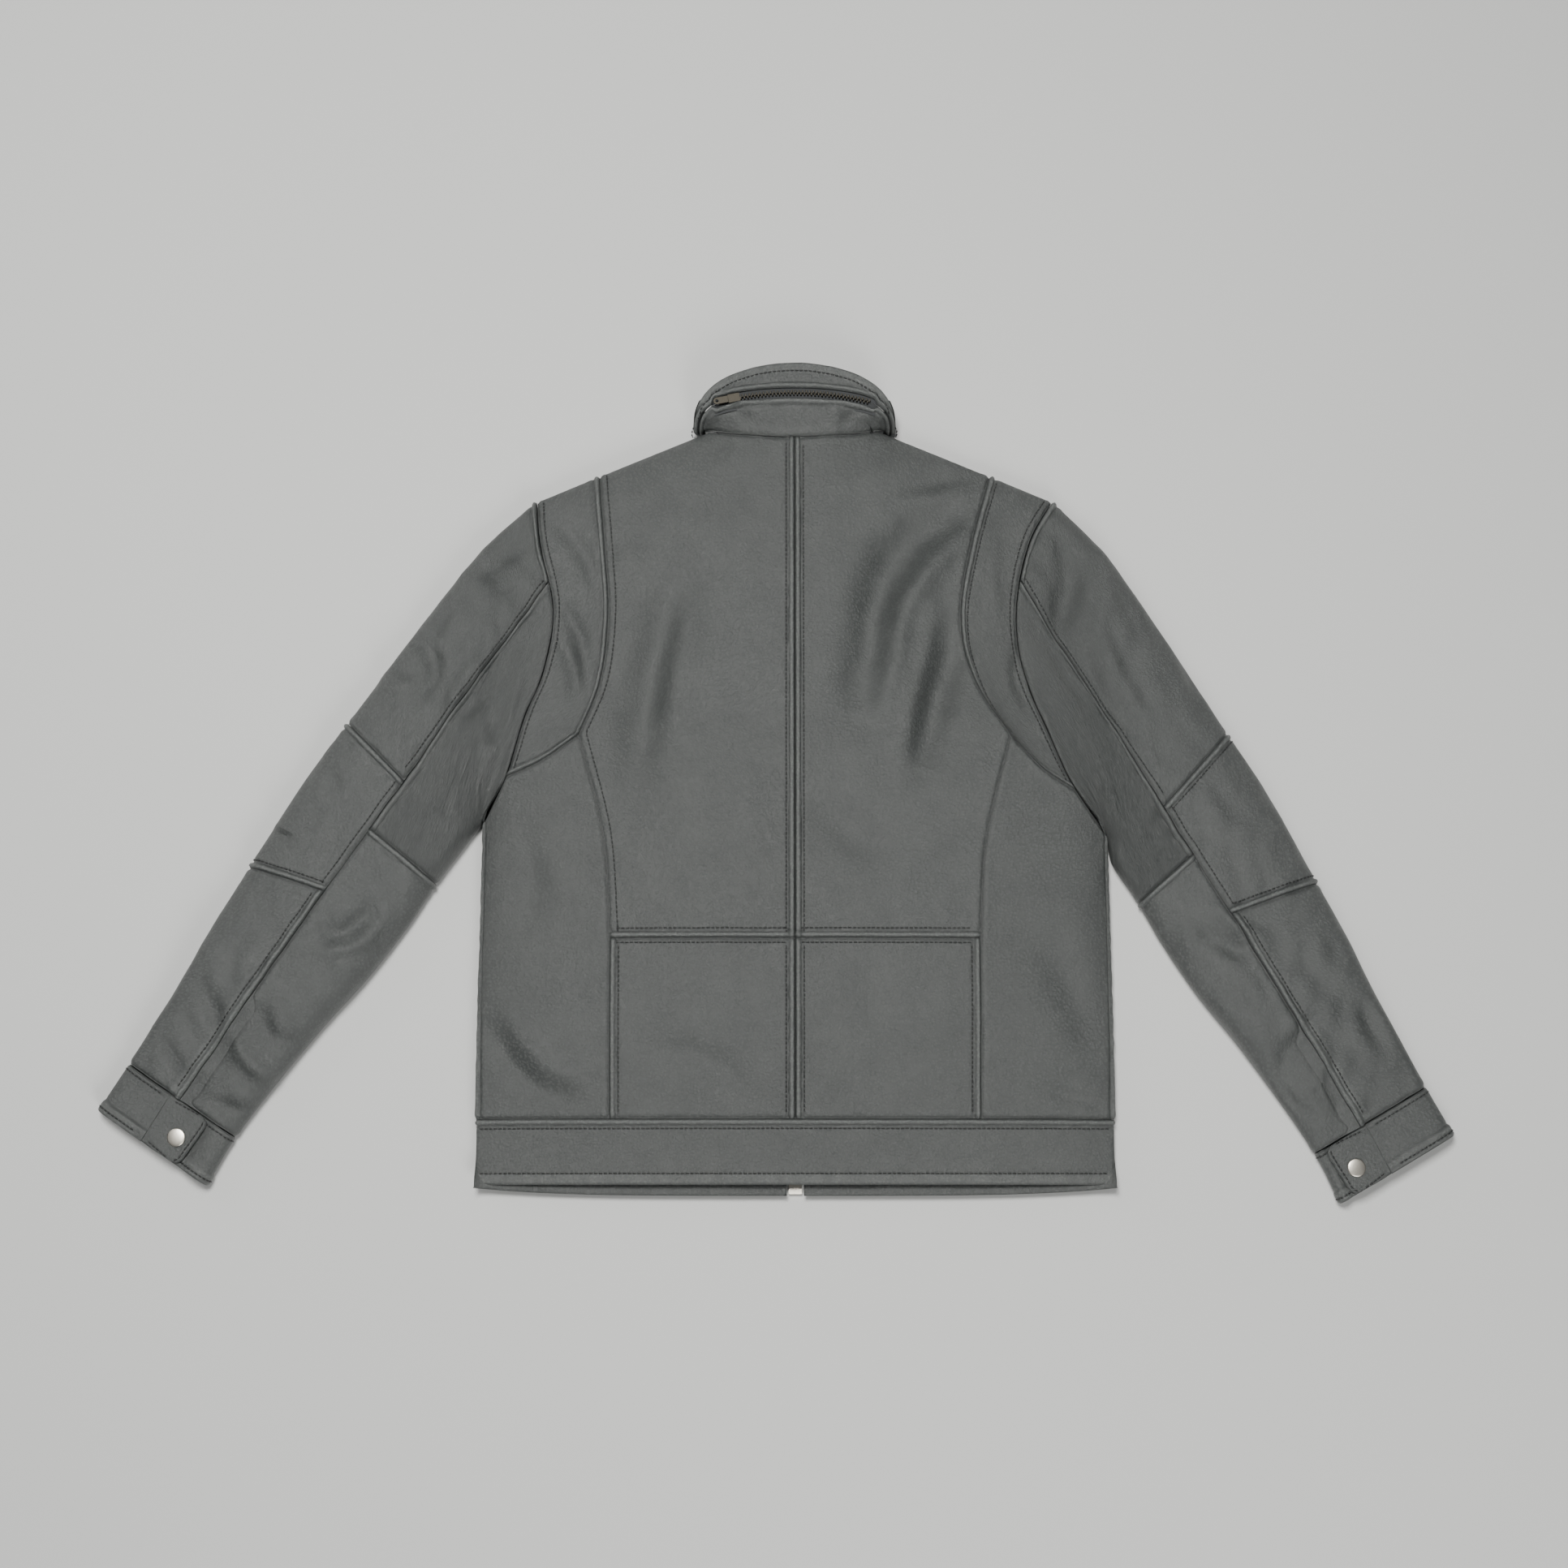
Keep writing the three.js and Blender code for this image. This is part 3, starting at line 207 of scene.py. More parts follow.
def at_run(run, values, at):
    """Values given along a run, read off at other distances."""
    return np.stack([np.interp(at, run, values[:, k]) for k in range(values.shape[1])], axis=-1)


def smooth(t):
    """Smooth step from 0 to 1."""
    t = np.clip(t, 0, 1)
    return t * t * (3 - 2 * t)


def lerp(a, b, t):
    """Straight mix of a and b."""
    return a + (b - a) * t


def crown(t, power, root):
    """Rounded box profile, 1 in the middle and 0 at t = 1: the root of (1 - |t| to the power)."""
    return np.maximum(0.0, 1 - np.clip(np.abs(t), 0, 1) ** power) ** (1.0 / root)


def catmull(points, t):
    """Centripetal Catmull-Rom through points, at t in segments: the cubic of each segment in Hermite form."""
    p = np.asarray(points, float)
    p = np.vstack([2 * p[0] - p[1], p, 2 * p[-1] - p[-2]])
    t = np.clip(np.asarray(t, float), 0, len(p) - 3)
    k = np.minimum(t.astype(int), len(p) - 4)
    w = (t - k)[..., None]
    p0, p1, p2, p3 = p[k], p[k + 1], p[k + 2], p[k + 3]
    d0, d1, d2 = [np.maximum(np.linalg.norm(b - a, axis=-1, keepdims=True), 1e-6) ** 0.5
                  for a, b in ((p0, p1), (p1, p2), (p2, p3))]
    m1 = ((p1 - p0) / d0 - (p2 - p0) / (d0 + d1) + (p2 - p1) / d1) * d1
    m2 = ((p2 - p1) / d1 - (p3 - p1) / (d1 + d2) + (p3 - p2) / d2) * d1
    return p1 + m1 * w + (3 * (p2 - p1) - 2 * m1 - m2) * w ** 2 + (2 * (p1 - p2) + m1 + m2) * w ** 3


def through(points, shares=None):
    """Smooth line through points, sampled evenly by length, or at the given shares of its length."""
    dense = catmull(points, np.linspace(0, len(points) - 1, 40 * (len(points) - 1) + 1))
    return along(dense, np.linspace(0, 1, 160) if shares is None else shares)


def lengths(line):
    """Distance along a line from its start to each point."""
    return np.concatenate([[0], np.cumsum(np.linalg.norm(np.diff(line, axis=0), axis=1))])


def along(line, shares):
    """Points of a line at shares of its length."""
    sums = lengths(line)
    at = np.asarray(shares) * sums[-1]
    return at_run(sums, line, at)


def stops(length, step):
    """Shares across a panel: close together at both edges, where the seam's shape is, and even between. A cloth
    lining, with a step of 6 mm or more, has no seam shape and is even all over."""
    if step >= 6:
        return np.linspace(0, 1, max(2, int(round(length / step))) + 1)
    near = np.array([0, 0.35, 0.8, 1.4, 2.1, 2.9, 3.8, 4.8, 6.0, 7.4, 9.2])
    near = near[near < 0.35 * length]
    count = max(2, int(round((length - 2 * near[-1]) / step)))
    middle = np.linspace(near[-1], length - near[-1], count + 1)
    return np.concatenate([near[:-1], middle, (length - near[:-1])[::-1]]) / length


def waves(x, y, size, seed, count=9):
    """Smooth irregular waves of about that size: the mean of sines with seeded directions and lengths."""
    rng = np.random.default_rng(seed)
    angle, phase = rng.uniform(0, 2 * np.pi, (2, count))
    pace = 2 * np.pi / (size * rng.uniform(0.7, 1.5, count))
    total = sum(np.sin(p * (x * np.cos(a) + y * np.sin(a)) + f) for a, f, p in zip(angle, phase, pace))
    return total / np.sqrt(count)


def fold_height(x, y):
    """Height of the folds at plan points: each fold's bell profile over the distance to its line, added up."""
    total = np.zeros_like(x)
    for line, width, height in FOLDS:
        line = through(line, np.linspace(0, 1, FOLD_POINTS))
        low, high = line.min(0) - 3 * width, line.max(0) + 3 * width
        if x.max() < low[0] or x.min() > high[0] or y.max() < low[1] or y.min() > high[1]:
            continue
        near, share = np.full(x.shape, 1e9), np.zeros_like(x)
        for k, (a, b) in enumerate(zip(line[:-1], line[1:])):
            d = b - a
            t = np.clip(((x - a[0]) * d[0] + (y - a[1]) * d[1]) / (d @ d), 0, 1)
            away = (x - a[0] - t * d[0]) ** 2 + (y - a[1] - t * d[1]) ** 2
            share = np.where(away < near, (k + t) / (FOLD_POINTS - 1), share)
            near = np.minimum(near, away)
        foot, swell, power = FOLD_TAPER
        taper = (foot + swell * share * (1 - share)) ** power
        total += FOLD_GAIN * height * taper * np.exp(-near / width ** 2)
    return total


# ---------------------------------------------------------------- the lying shape

def upper_edge(x):
    """Upper outline of the body: straight shoulders, and the collar's half ellipse between the neck points."""
    away = np.abs(x)
    neck = BACK_LENGTH + NECK_RISE
    inside = lerp(neck, BACK_LENGTH + COLLAR_HEIGHT, np.sqrt(np.maximum(0, 1 - (away / NECK_HALF) ** 2)))
    return np.where(away < NECK_HALF, inside, lerp(neck, TIP[1], (away - NECK_HALF) / (TIP[0] - NECK_HALF)))


def body_rise(x, y, power, root):
    """Share of the full height: the crown across the body times the crown up to the shoulder line."""
    return (crown(x / BODY_HALF, power, root)
            * crown(np.clip((y - ROUND_FROM) / (upper_edge(x) - ROUND_FROM), 0, 1), power, root))


def back_height(x, y):
    """Height of the back: from the side fold line up to the hem's height, rising to the body's. It is averaged
    across X, further from the outline the wider, so that the corner at each neck point draws no crease."""
    full = lerp(HEM_HEIGHT, BODY_HEIGHT, smooth(y / HEM_RISE))
    reach = np.clip(np.minimum(0.8 * (upper_edge(x) - y), 0.5 * (BODY_HALF - np.abs(x))), 0, 40)
    rise = sum(body_rise(x + k * reach, y, 3, 2.2) for k in (-1, -0.67, -0.33, 0, 0.33, 0.67, 1)) / 7
    return EDGE_HEIGHT + (full - EDGE_HEIGHT) * rise


def front_height(x, y):
    """Height of the front, which lies on the floor except along the fold lines."""
    return EDGE_HEIGHT * (1 - body_rise(x, y, 16, 2))


def shoulder_point(x):
    """A point of the shoulder line."""
    return np.array([x, float(upper_edge(np.array(x)))])


def armhole_points(side):
    """Key points of the armhole seam in plan, from the shoulder tip to the armpit."""
    foot = TIP[1] - ARMHOLE + side["rise"]
    deep = TIP[1] - foot
    inward = lambda share: TIP[0] - share * 2 * TIP[0] + side["push"]
    return [TIP, (inward(0.03), TIP[1] - 0.14 * deep), (inward(0.06), TIP[1] - 0.36 * deep),
            (inward(0.045), TIP[1] - 0.55 * deep), (inward(0.01), TIP[1] - 0.69 * deep),
            (lerp(TIP[0], BODY_HALF, 0.4) + 0.5 * side["push"], TIP[1] - 0.87 * deep), (BODY_HALF, foot)]


class Sleeve:
    """The flattened sleeve: a strip between an outer and an inner edge, with a back half and a front half."""

    OUTER_ALONG = [0, 0.09, 0.23, 0.4, 0.49, 0.633, 0.71, 0.785]
    OUTER_BOW = [0, 0.6, 0.85, 0.93, 1, 0.75, 0.6, 0.35, 0.08, 0]
    INNER_ALONG = [0, 0.02, 0.04, 0.065, 0.175, 0.28, 0.43, 0.59]
    HEIGHTS = [SLEEVE_HEIGHT] * 7 + [0.94 * SLEEVE_HEIGHT, CUFF_HEIGHT, CUFF_HEIGHT]
    WIDTHS = [0, 0, 0, 1.0, 1.0, 0.97, 0.93, 0.84]

    def __init__(self, side):
        self.side = side
        angle = math.radians(side["lay"])
        self.u = np.array([math.sin(angle), -math.cos(angle)])
        self.v = np.array([-math.cos(angle), -math.sin(angle)])
        self.armhole = through(armhole_points(side), np.linspace(0, 1, 400))
        armpit = self.to_sleeve(self.armhole[-1])
        cuff_top = SLEEVE_LENGTH - CUFF_DEPTH
        outer = [(share * SLEEVE_LENGTH, -bow * ELBOW_BOW) for share, bow in zip(self.OUTER_ALONG, self.OUTER_BOW)]
        outer += [(cuff_top, -self.OUTER_BOW[8] * ELBOW_BOW), (SLEEVE_LENGTH, 0.0)]
        patch_inner = outer[3][1] + SLEEVE_WIDTH
        inner = []
        for k, share in enumerate(self.INNER_ALONG):
            if k < 3:
                across = lerp(armpit[1], patch_inner, k / 3)
            else:
                across = outer[k][1] + self.WIDTHS[k] * SLEEVE_WIDTH
            inner.append((lerp(armpit[0], SLEEVE_LENGTH, share), across))
        inner += [(cuff_top, outer[8][1] + CUFF_WIDTH - 2), (SLEEVE_LENGTH, CUFF_WIDTH)]
        self.outer, self.inner = np.array(outer), np.array(inner)

    def to_plan(self, p):
        """Sleeve frame (along, across) to plan."""
        return TIP + p[..., :1] * self.u + p[..., 1:2] * self.v

    def to_sleeve(self, p):
        """Plan to the sleeve frame (along, across)."""
        return np.stack([(p - TIP) @ self.u, (p - TIP) @ self.v], axis=-1)

    def flat(self, s, f):
        """Point at section s and share f from outer to inner edge, bulged to meet the armhole near the top."""
        a, b = catmull(self.outer, s), catmull(self.inner, s)
        point = a + (b - a) * f[..., None]
        chord = self.outer[0] + (self.inner[0] - self.outer[0]) * f[..., None]
        bulge = self.to_sleeve(along(self.armhole, np.clip(f, 0, 1))) - chord
        return point + np.maximum(0, 1 - s / 2)[..., None] ** 2 * bulge

    def share_at(self, s, across):
        """Share at which a line at a fixed distance across crosses section s, by halving."""
        low, high = np.zeros_like(s), np.ones_like(s)
        for _ in range(30):
            middle = 0.5 * (low + high)
            short = self.flat(s, middle)[..., 1] < across
            low, high = np.where(short, middle, low), np.where(short, high, middle)
        return 0.5 * (low + high)

    def place(self, s, q):
        """Point of the tube: |q| is the share across, q >= 0 on the back half and q < 0 on the front half."""
        f = np.abs(q)
        plan = self.to_plan(self.flat(s, f))
        x, y = plan[..., 0], plan[..., 1]
        by_body = (1 - smooth(s / 1.2)) * np.minimum(1, np.minimum(8 * f, 8 * (1 - f)))
        top = np.interp(s, np.arange(10), self.HEIGHTS)
        power = lerp(2.8, 8, smooth((s - 5) / 3))
        bend = np.maximum(0.0, 1 - np.abs(2 * f - 1) ** power) ** (1 / 2.4)
        over = lerp(EDGE_HEIGHT + (top - EDGE_HEIGHT) * bend, back_height(x, y), by_body)
        under = lerp(EDGE_HEIGHT * (1 - crown(2 * f - 1, 8, 2.4)), front_height(x, y), by_body)
        z = np.where(q >= 0, over, under)
        return np.stack([self.side["sign"] * (x + ARMHOLE_GAP), y, z], axis=-1)

    def seam(self, s):
        """Share of the back seam at section s."""
        return self.share_at(s, self.side["seam"])


# ---------------------------------------------------------------- sheets of leather and cloth

def normals_of(grid):
    """Unit normals of a grid of points, from the cross product of its two directions."""
    across = np.gradient(grid, axis=1)
    up = np.gradient(grid, axis=0)
    n = np.cross(across, up)
    return n / np.maximum(np.linalg.norm(n, axis=-1, keepdims=True), 1e-12)


def edge_distances(grid):
    """Distance of each grid point from the left, right, bottom and top edge, measured along the surface."""
    across = np.linalg.norm(np.diff(grid, axis=1), axis=-1)
    up = np.linalg.norm(np.diff(grid, axis=0), axis=-1)
    from_left = np.concatenate([np.zeros((len(grid), 1)), np.cumsum(across, axis=1)], axis=1)
    from_low = np.concatenate([np.zeros((1, grid.shape[1])), np.cumsum(up, axis=0)], axis=0)
    return {"left": from_left, "right": from_left[:, -1:] - from_left,
            "bottom": from_low, "top": from_low[-1:] - from_low}


def seam_relief(d, kind):
    """Height of the leather at a distance d from its seamed edge.
    bead: a turned edge standing as a half-round roll, with the pulled-in line beside it.
    flat: an edge that dips to its neighbour's. hem: a turned-up hem. cut: an edge that only rounds off.
    none: level."""
    drop = -1.3 * np.exp(-(d / 0.9) ** 2)
    if kind == "bead":
        roll = 1.5 * np.sqrt(np.maximum(0, 1 - ((d - 2.3) / 2.5) ** 2))
        return roll + drop - 0.75 * np.exp(-((d - 5.6) / 1.2) ** 2) + 0.35 * np.exp(-((d - 9) / 3.5) ** 2)
    if kind == "flat":
        return -1.3 * np.exp(-(d / 1.7) ** 2) + 0.35 * np.exp(-((d - 5) / 3) ** 2)
    if kind == "none":
        return 0 * d
    if kind == "hem":
        return drop + 1.1 * smooth((11 - d) / 2.5) - 0.25 * np.exp(-((d - 11) / 1.2) ** 2)
    return drop


def new_object(name, verts, faces, sharp=None):
    """A smooth mesh object in the scene, sharp where its faces meet at more than a number of degrees."""
    mesh = bpy.data.meshes.new(name)
    mesh.from_pydata(on_frame(verts).tolist(), [], faces)
    mesh.shade_smooth()
    if sharp is not None:
        mesh.set_sharp_from_angle(angle=math.radians(sharp))
    obj = bpy.data.objects.new(name, mesh)
    bpy.context.scene.collection.objects.link(obj)
    return obj


def make_mesh(name, verts, faces, uv=None, lift=None):
    """A mesh object from arrays, its faces outward by the sign of its volume, smooth but for sharp rims."""
    triangles = faces[:, [0, 1, 2]]
    rest = faces[:, [0, 2, 3]]
    volume = sum(np.einsum("ij,ij->i", verts[t[:, 0]], np.cross(verts[t[:, 1]], verts[t[:, 2]])).sum()
                 for t in (triangles, rest))
    if volume < 0:
        faces = faces[:, ::-1]
    obj = new_object(name, verts, faces.tolist(), sharp=48)
    mesh = obj.data
    if uv is not None:
        layer = mesh.uv_layers.new(name="UVMap")
        corner = np.empty(len(mesh.loops), np.int32)
        mesh.loops.foreach_get("vertex_index", corner)
        layer.data.foreach_set("uv", uv[corner].astype(np.float32).ravel())
    if lift is not None:
        attribute = mesh.attributes.new("lift", "FLOAT", "POINT")
        attribute.data.foreach_set("value", lift.astype(np.float32))
    return obj


def closed_sheet(name, outer, inner, seed=0, lift=None):
    """One closed sheet from an outer and an inner grid: both faces and a wall of quads along the four rims."""
    rows, columns = outer.shape[:2]
    i = np.arange(rows * columns).reshape(rows, columns)
    j = i + rows * columns
    quads = lambda a, b, c, d: np.stack([a.ravel(), b.ravel(), c.ravel(), d.ravel()], axis=-1)
    faces = np.concatenate([
        quads(i[:-1, :-1], i[:-1, 1:], i[1:, 1:], i[1:, :-1]),
        quads(j[1:, :-1], j[1:, 1:], j[:-1, 1:], j[:-1, :-1]),
        quads(i[0, 1:], i[0, :-1], j[0, :-1], j[0, 1:]),
        quads(i[-1, :-1], i[-1, 1:], j[-1, 1:], j[-1, :-1]),
        quads(i[1:, -1], i[:-1, -1], j[:-1, -1], j[1:, -1]),
        quads(i[:-1, 0], i[1:, 0], j[1:, 0], j[:-1, 0])])
    d = edge_distances(outer)
    uv = np.stack([d["left"] + 37.0 * seed, d["bottom"] + 61.0 * seed], axis=-1).reshape(-1, 2) / UV_UNIT
    verts = np.concatenate([outer.reshape(-1, 3), inner.reshape(-1, 3)])
    both = None if lift is None else np.concatenate([lift.ravel(), 0 * lift.ravel()])
    return make_mesh(name, verts, faces, np.concatenate([uv, uv]), both)


def inset(grid, amount):
    """Draws the rims in by a small amount along the grid, so that neighbours stay apart."""
    out = grid.copy()
    for rim, nxt in (((0,), (1,)), ((-1,), (-2,)), ((slice(None), 0), (slice(None), 1)),
                     ((slice(None), -1), (slice(None), -2))):
        step = grid[nxt] - grid[rim]
        out[rim] += amount * step / np.maximum(np.linalg.norm(step, axis=-1, keepdims=True), 1e-9)
    return out


def flat_size(grid):
    """Width, length and area of a panel's own surface, in metres, as it was cut: the length is its longest
    column, and the width is the mean one square to it."""
    columns = edge_distances(grid)["bottom"][-1] / 1000
    a, b = grid[1:, 1:] - grid[:-1, :-1], grid[1:, :-1] - grid[:-1, 1:]
    area = 0.5 * np.linalg.norm(np.cross(a, b), axis=-1).sum() / 1e6
    width, length = area / columns.mean(), columns.max()
    return (width, length), min(area, width * length)


def sewn_line(points, normals, distances, edge, offset, trim):
    """The line at an offset from one edge, found between grid lines: returns its points and normals."""
    d = distances[edge]
    if edge in ("left", "right"):
        points, normals, d = points.transpose(1, 0, 2), normals.transpose(1, 0, 2), d.T
    if edge in ("right", "top"):
        points, normals, d = points[::-1], normals[::-1], d[::-1]
    k = np.clip((d < offset).sum(axis=0), 1, len(d) - 1)
    c = np.arange(d.shape[1])
    w = ((offset - d[k - 1, c]) / np.maximum(d[k, c] - d[k - 1, c], 1e-9))[:, None]
    line = points[k - 1, c] * (1 - w) + points[k, c] * w
    normal = normals[k - 1, c] * (1 - w) + normals[k, c] * w
    run = lengths(line)
    keep = (run >= trim[0]) & (run <= run[-1] - trim[1])
    return line[keep], normal[keep]


def lying_rise(base, n, folds, cross):
    """Height of the lying folds and slow waves at each grid point, fading out at the folded-over edges."""
    x, y, upward = base[..., 0], base[..., 1], np.clip(n[..., 2], 0, 1)
    rise = folds * (fold_height(x, y) + 0.7 * waves(x, y, 95, 3) + 0.32 * waves(x, y, 38, 5))
    return upward * (rise + cross * waves(x, y, 24, 11)) * smooth((base[..., 2] - 9) / 10)


def sewn_panel(name, base, body, edges, nodes, flip=1, folds=1.0, seed=0, blend=None,
               cross=0.0, shape=None):
    """A leather panel over a base grid: the surface moved along its normals by the seams' relief, the folds and
    slow waves, and closed with an inner face below it. edges gives each edge's kind and its rows of stitches."""
    base = inset(base, 0.5 * SEAM_GAP - 0.05)
    n = normals_of(base) * flip
    d = edge_distances(base)
    relief = np.zeros(base.shape[:2])
    for k, (edge, (kind, offsets)) in enumerate(edges.items()):
        run = d["bottom" if edge in ("left", "right") else "left"]
        pucker = 1 + 0.16 * waves(run, 0 * run, 13, seed * 7 + k)
        relief += seam_relief(d[edge], kind) * np.where(d[edge] > 1.6, pucker, 1)
        for offset in offsets:
            relief -= 0.4 * np.exp(-((d[edge] - offset) / 1.1) ** 2)
    if shape is not None:
        relief += shape(d)
    rise = lying_rise(base, n, folds, cross)
    outer = base + n * (relief + rise)[..., None]
    deep = LEATHER + np.minimum(relief, 0) * 0.5
    inner = base + n * (rise - deep)[..., None]
    obj = closed_sheet(name, outer, inner, seed, relief)
    skin(obj, "leather", nodes)
    n_top = normals_of(outer) * flip
    for edge, (kind, offsets) in edges.items():
        for offset in offsets:
            line, normal = sewn_line(outer, n_top, d, edge, offset, (5, 5))
            if len(line) > 3:
                STITCHES.setdefault(body if blend is None else blend["key"], []).append((line, normal))
    attach(obj, body, blend)
    size, area = flat_size(base)


def attach(obj, body, blend):
    """Rides on one body; where the panel crosses a joint, it is baked where it lies and rides on no body."""
    if blend is None:
        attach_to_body(obj, body)
    else:
        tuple(blend["start"])
        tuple(blend["end"])
        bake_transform(obj)


def skin(obj, finish, nodes=()):
    """Gives a piece its finish and hides the CAD nodes it stands for."""
    obj.data.materials.clear()
    obj.data.materials.append(FINISHES[finish]())
    if nodes:
        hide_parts(*nodes)


def body_grid(left, right, bottom, top, height, step=3.0):
    """Coons patch in plan between four border lines, lifted to the lying height."""
    width = 0.5 * (lengths(bottom)[-1] + lengths(top)[-1])
    tall = 0.5 * (lengths(left)[-1] + lengths(right)[-1])
    u, t = stops(width, step), stops(tall, step)
    low, high = along(bottom, u)[None], along(top, u)[None]
    near, far = along(left, t)[:, None], along(right, t)[:, None]
    u, t = u[None, :, None], t[:, None, None]
    plan = ((1 - u) * near + u * far + (1 - t) * low + t * high
            - (1 - u) * (1 - t) * bottom[0] - u * (1 - t) * bottom[-1] - (1 - u) * t * top[0] - u * t * top[-1])
    z = height(plan[..., 0], plan[..., 1])
    return np.concatenate([plan, z[..., None]], axis=-1)


def for_side(side, inboard, outboard, bottom, top):
    """Borders given for the wearer's right side, as left, right, bottom and top of either side."""
    if side["sign"] > 0:
        return inboard, outboard, bottom, top
    flip = np.array([-1.0, 1.0])
    return outboard * flip, inboard * flip, bottom[::-1] * flip, top[::-1] * flip


def sided(side, inboard, outboard, bottom, top):
    """Edge kinds given as inboard and outboard, as left and right of either side."""
    left, right = (inboard, outboard) if side["sign"] > 0 else (outboard, inboard)
    return {"left": left, "right": right, "bottom": bottom, "top": top}


# ---------------------------------------------------------------- finishes

def linear(hexa):
    """sRGB hex to a linear colour."""
    rgb = [int(hexa[k:k + 2], 16) / 255 for k in (1, 3, 5)]
    return [c / 12.92 if c <= 0.04045 else ((c + 0.055) / 1.055) ** 2.4 for c in rgb] + [1.0]


def add_node(tree, kind, inputs=(), **settings):
    """Adds a node, sets its settings, and sets or links each input by name or number."""
    node = tree.nodes.new(kind)
    for name, value in settings.items():
        setattr(node, name, value)
    for name, value in dict(inputs).items():
        if isinstance(value, bpy.types.NodeSocket):
            tree.links.new(value, node.inputs[name])
        else:
            node.inputs[name].default_value = value
    return node


def new_finish(name, base, roughness, metallic=0.0):
    """A material with its shader, and the tree to add to."""
    material = bpy.data.materials.new(name)
    material.use_nodes = True
    tree = material.node_tree
    shader = tree.nodes["Principled BSDF"]
    shader.inputs["Base Color"].default_value = linear(base)
    shader.inputs["Roughness"].default_value = roughness
    shader.inputs["Metallic"].default_value = metallic
    return material, tree, shader


def coordinates(tree, space="UV"):
    """The texture coordinates of the surface map, in hundreds of millimetres, or of the object, in metres."""
    return add_node(tree, "ShaderNodeTexCoord").outputs[space]


def noise(tree, place, scale, **inputs):
    """A noise texture's node."""
    named = {name.capitalize(): value for name, value in inputs.items()}
    return add_node(tree, "ShaderNodeTexNoise", {"Vector": place, "Scale": scale, **named})


def mapped(tree, value, to_low, to_high, low=0.0, high=1.0):
    """A value's range low to high, mapped to another range."""
    return add_node(tree, "ShaderNodeMapRange", {"Value": value, "From Min": low, "From Max": high,
                                                 "To Min": to_low, "To Max": to_high}).outputs[0]


def mixed(tree, share, first, second):
    """Two colours mixed by a share."""
    return add_node(tree, "ShaderNodeMixRGB", {"Fac": share, "Color1": first, "Color2": second}).outputs[0]


def bumped(tree, shader, height, strength, distance, **under):
    """Bumps the shader's surface by a height, on top of another normal where one is given."""
    bump = add_node(tree, "ShaderNodeBump", {"Height": height, "Strength": strength,
                                             "Distance": distance, **under})
    tree.links.new(bump.outputs["Normal"], shader.inputs["Normal"])
    return bump.outputs["Normal"]


@cache
def pebbled_leather():
    """Drum-dyed cowhide with a pressed pebble grain and a satin top coat: soft broad highlights broken by the
    grain, edges rubbed lighter, and the valleys of the grain darker. The seam grooves and the rows of stitch holes
    are darkened with painted shade where the relief dips."""
    look = bpy.context.scene.jacket_look
    material, tree, shader = new_finish("Pebble-grained cowhide, satin", "#474949", 0.43)
    place = coordinates(tree)
    warp = noise(tree, place, 28.0, detail=2.0)
    moved = add_node(tree, "ShaderNodeMixRGB", {"Fac": 0.012, "Color1": place, "Color2": warp.outputs["Color"]},
                     blend_type="ADD")
    cells = add_node(tree, "ShaderNodeTexVoronoi", {"Vector": moved.outputs[0], "Smoothness": 0.35,
                                                    "Scale": UV_UNIT / look.grain_mm}, feature="SMOOTH_F1")
    dome = mapped(tree, cells.outputs["Distance"], 1.0, 0.0, 0.05, 0.62)
    pores = noise(tree, place, 190.0, detail=3.0).outputs["Fac"]
    patches = noise(tree, place, 3.1, detail=4.0, roughness=0.6).outputs["Fac"]
    creases = noise(tree, place, 11.0, detail=5.0, roughness=0.65, distortion=0.8).outputs["Fac"]
    height = add_node(tree, "ShaderNodeMath", {0: dome, 1: pores, 2: pores}, operation="MULTIPLY_ADD")
    normal = bumped(tree, shader, height.outputs[0], 1.0, 0.0005)
    bumped(tree, shader, creases, 0.5, 0.0012, Normal=normal)
    lift = add_node(tree, "ShaderNodeAttribute", attribute_name="lift").outputs["Fac"]
    tone = mixed(tree, patches, (*look.dark, 1.0), (*look.light, 1.0))
    rubbed = mixed(tree, mapped(tree, lift, 0.0, 0.5, 0.5, 1.6), tone, linear("#727574"))
    # painted shade: where the seam relief dips into grooves and stitch rows, the colour is mixed towards
    # near-black
    seam_groove_shade = mixed(tree, mapped(tree, lift, 0.0, 0.6, -0.4, -1.3), rubbed, linear("#151617"))
    grained = mixed(tree, mapped(tree, dome, 0.0, 0.4, 0.75, 0.15), seam_groove_shade, linear("#202122"))
    tree.links.new(grained, shader.inputs["Base Color"])
    tree.links.new(mapped(tree, patches, 0.28, 0.38), shader.inputs["Roughness"])
    return material


def wave(tree, place, scale, direction):
    """Height of even ribs along one direction of the surface map."""
    return add_node(tree, "ShaderNodeTexWave", {"Vector": place, "Scale": scale},
                    bands_direction=direction).outputs["Fac"]


@cache
def lining_cloth():
    """Plain woven viscose lining: a fine dull weave and a faint sheen."""
    material, tree, shader = new_finish("Plain woven viscose lining", "#1b1c1e", 0.72)
    shader.inputs["Sheen Weight"].default_value = 0.25
    place = coordinates(tree)
    warp, weft = [wave(tree, place, UV_UNIT / 2 / 3.14, direction) for direction in "XY"]
    both = add_node(tree, "ShaderNodeMath", {0: warp, 1: weft}, operation="MULTIPLY")
    bumped(tree, shader, both.outputs[0], 0.4, 0.0002)
    return material


@cache
def zip_tape():
    """Ribbed polyester zip tape: matt black with fine ribs across it."""
    material, tree, shader = new_finish("Ribbed polyester zip tape", "#303234", 0.8)
    bumped(tree, shader, wave(tree, coordinates(tree), UV_UNIT / 6.3, "Y"), 0.6, 0.0003)
    return material


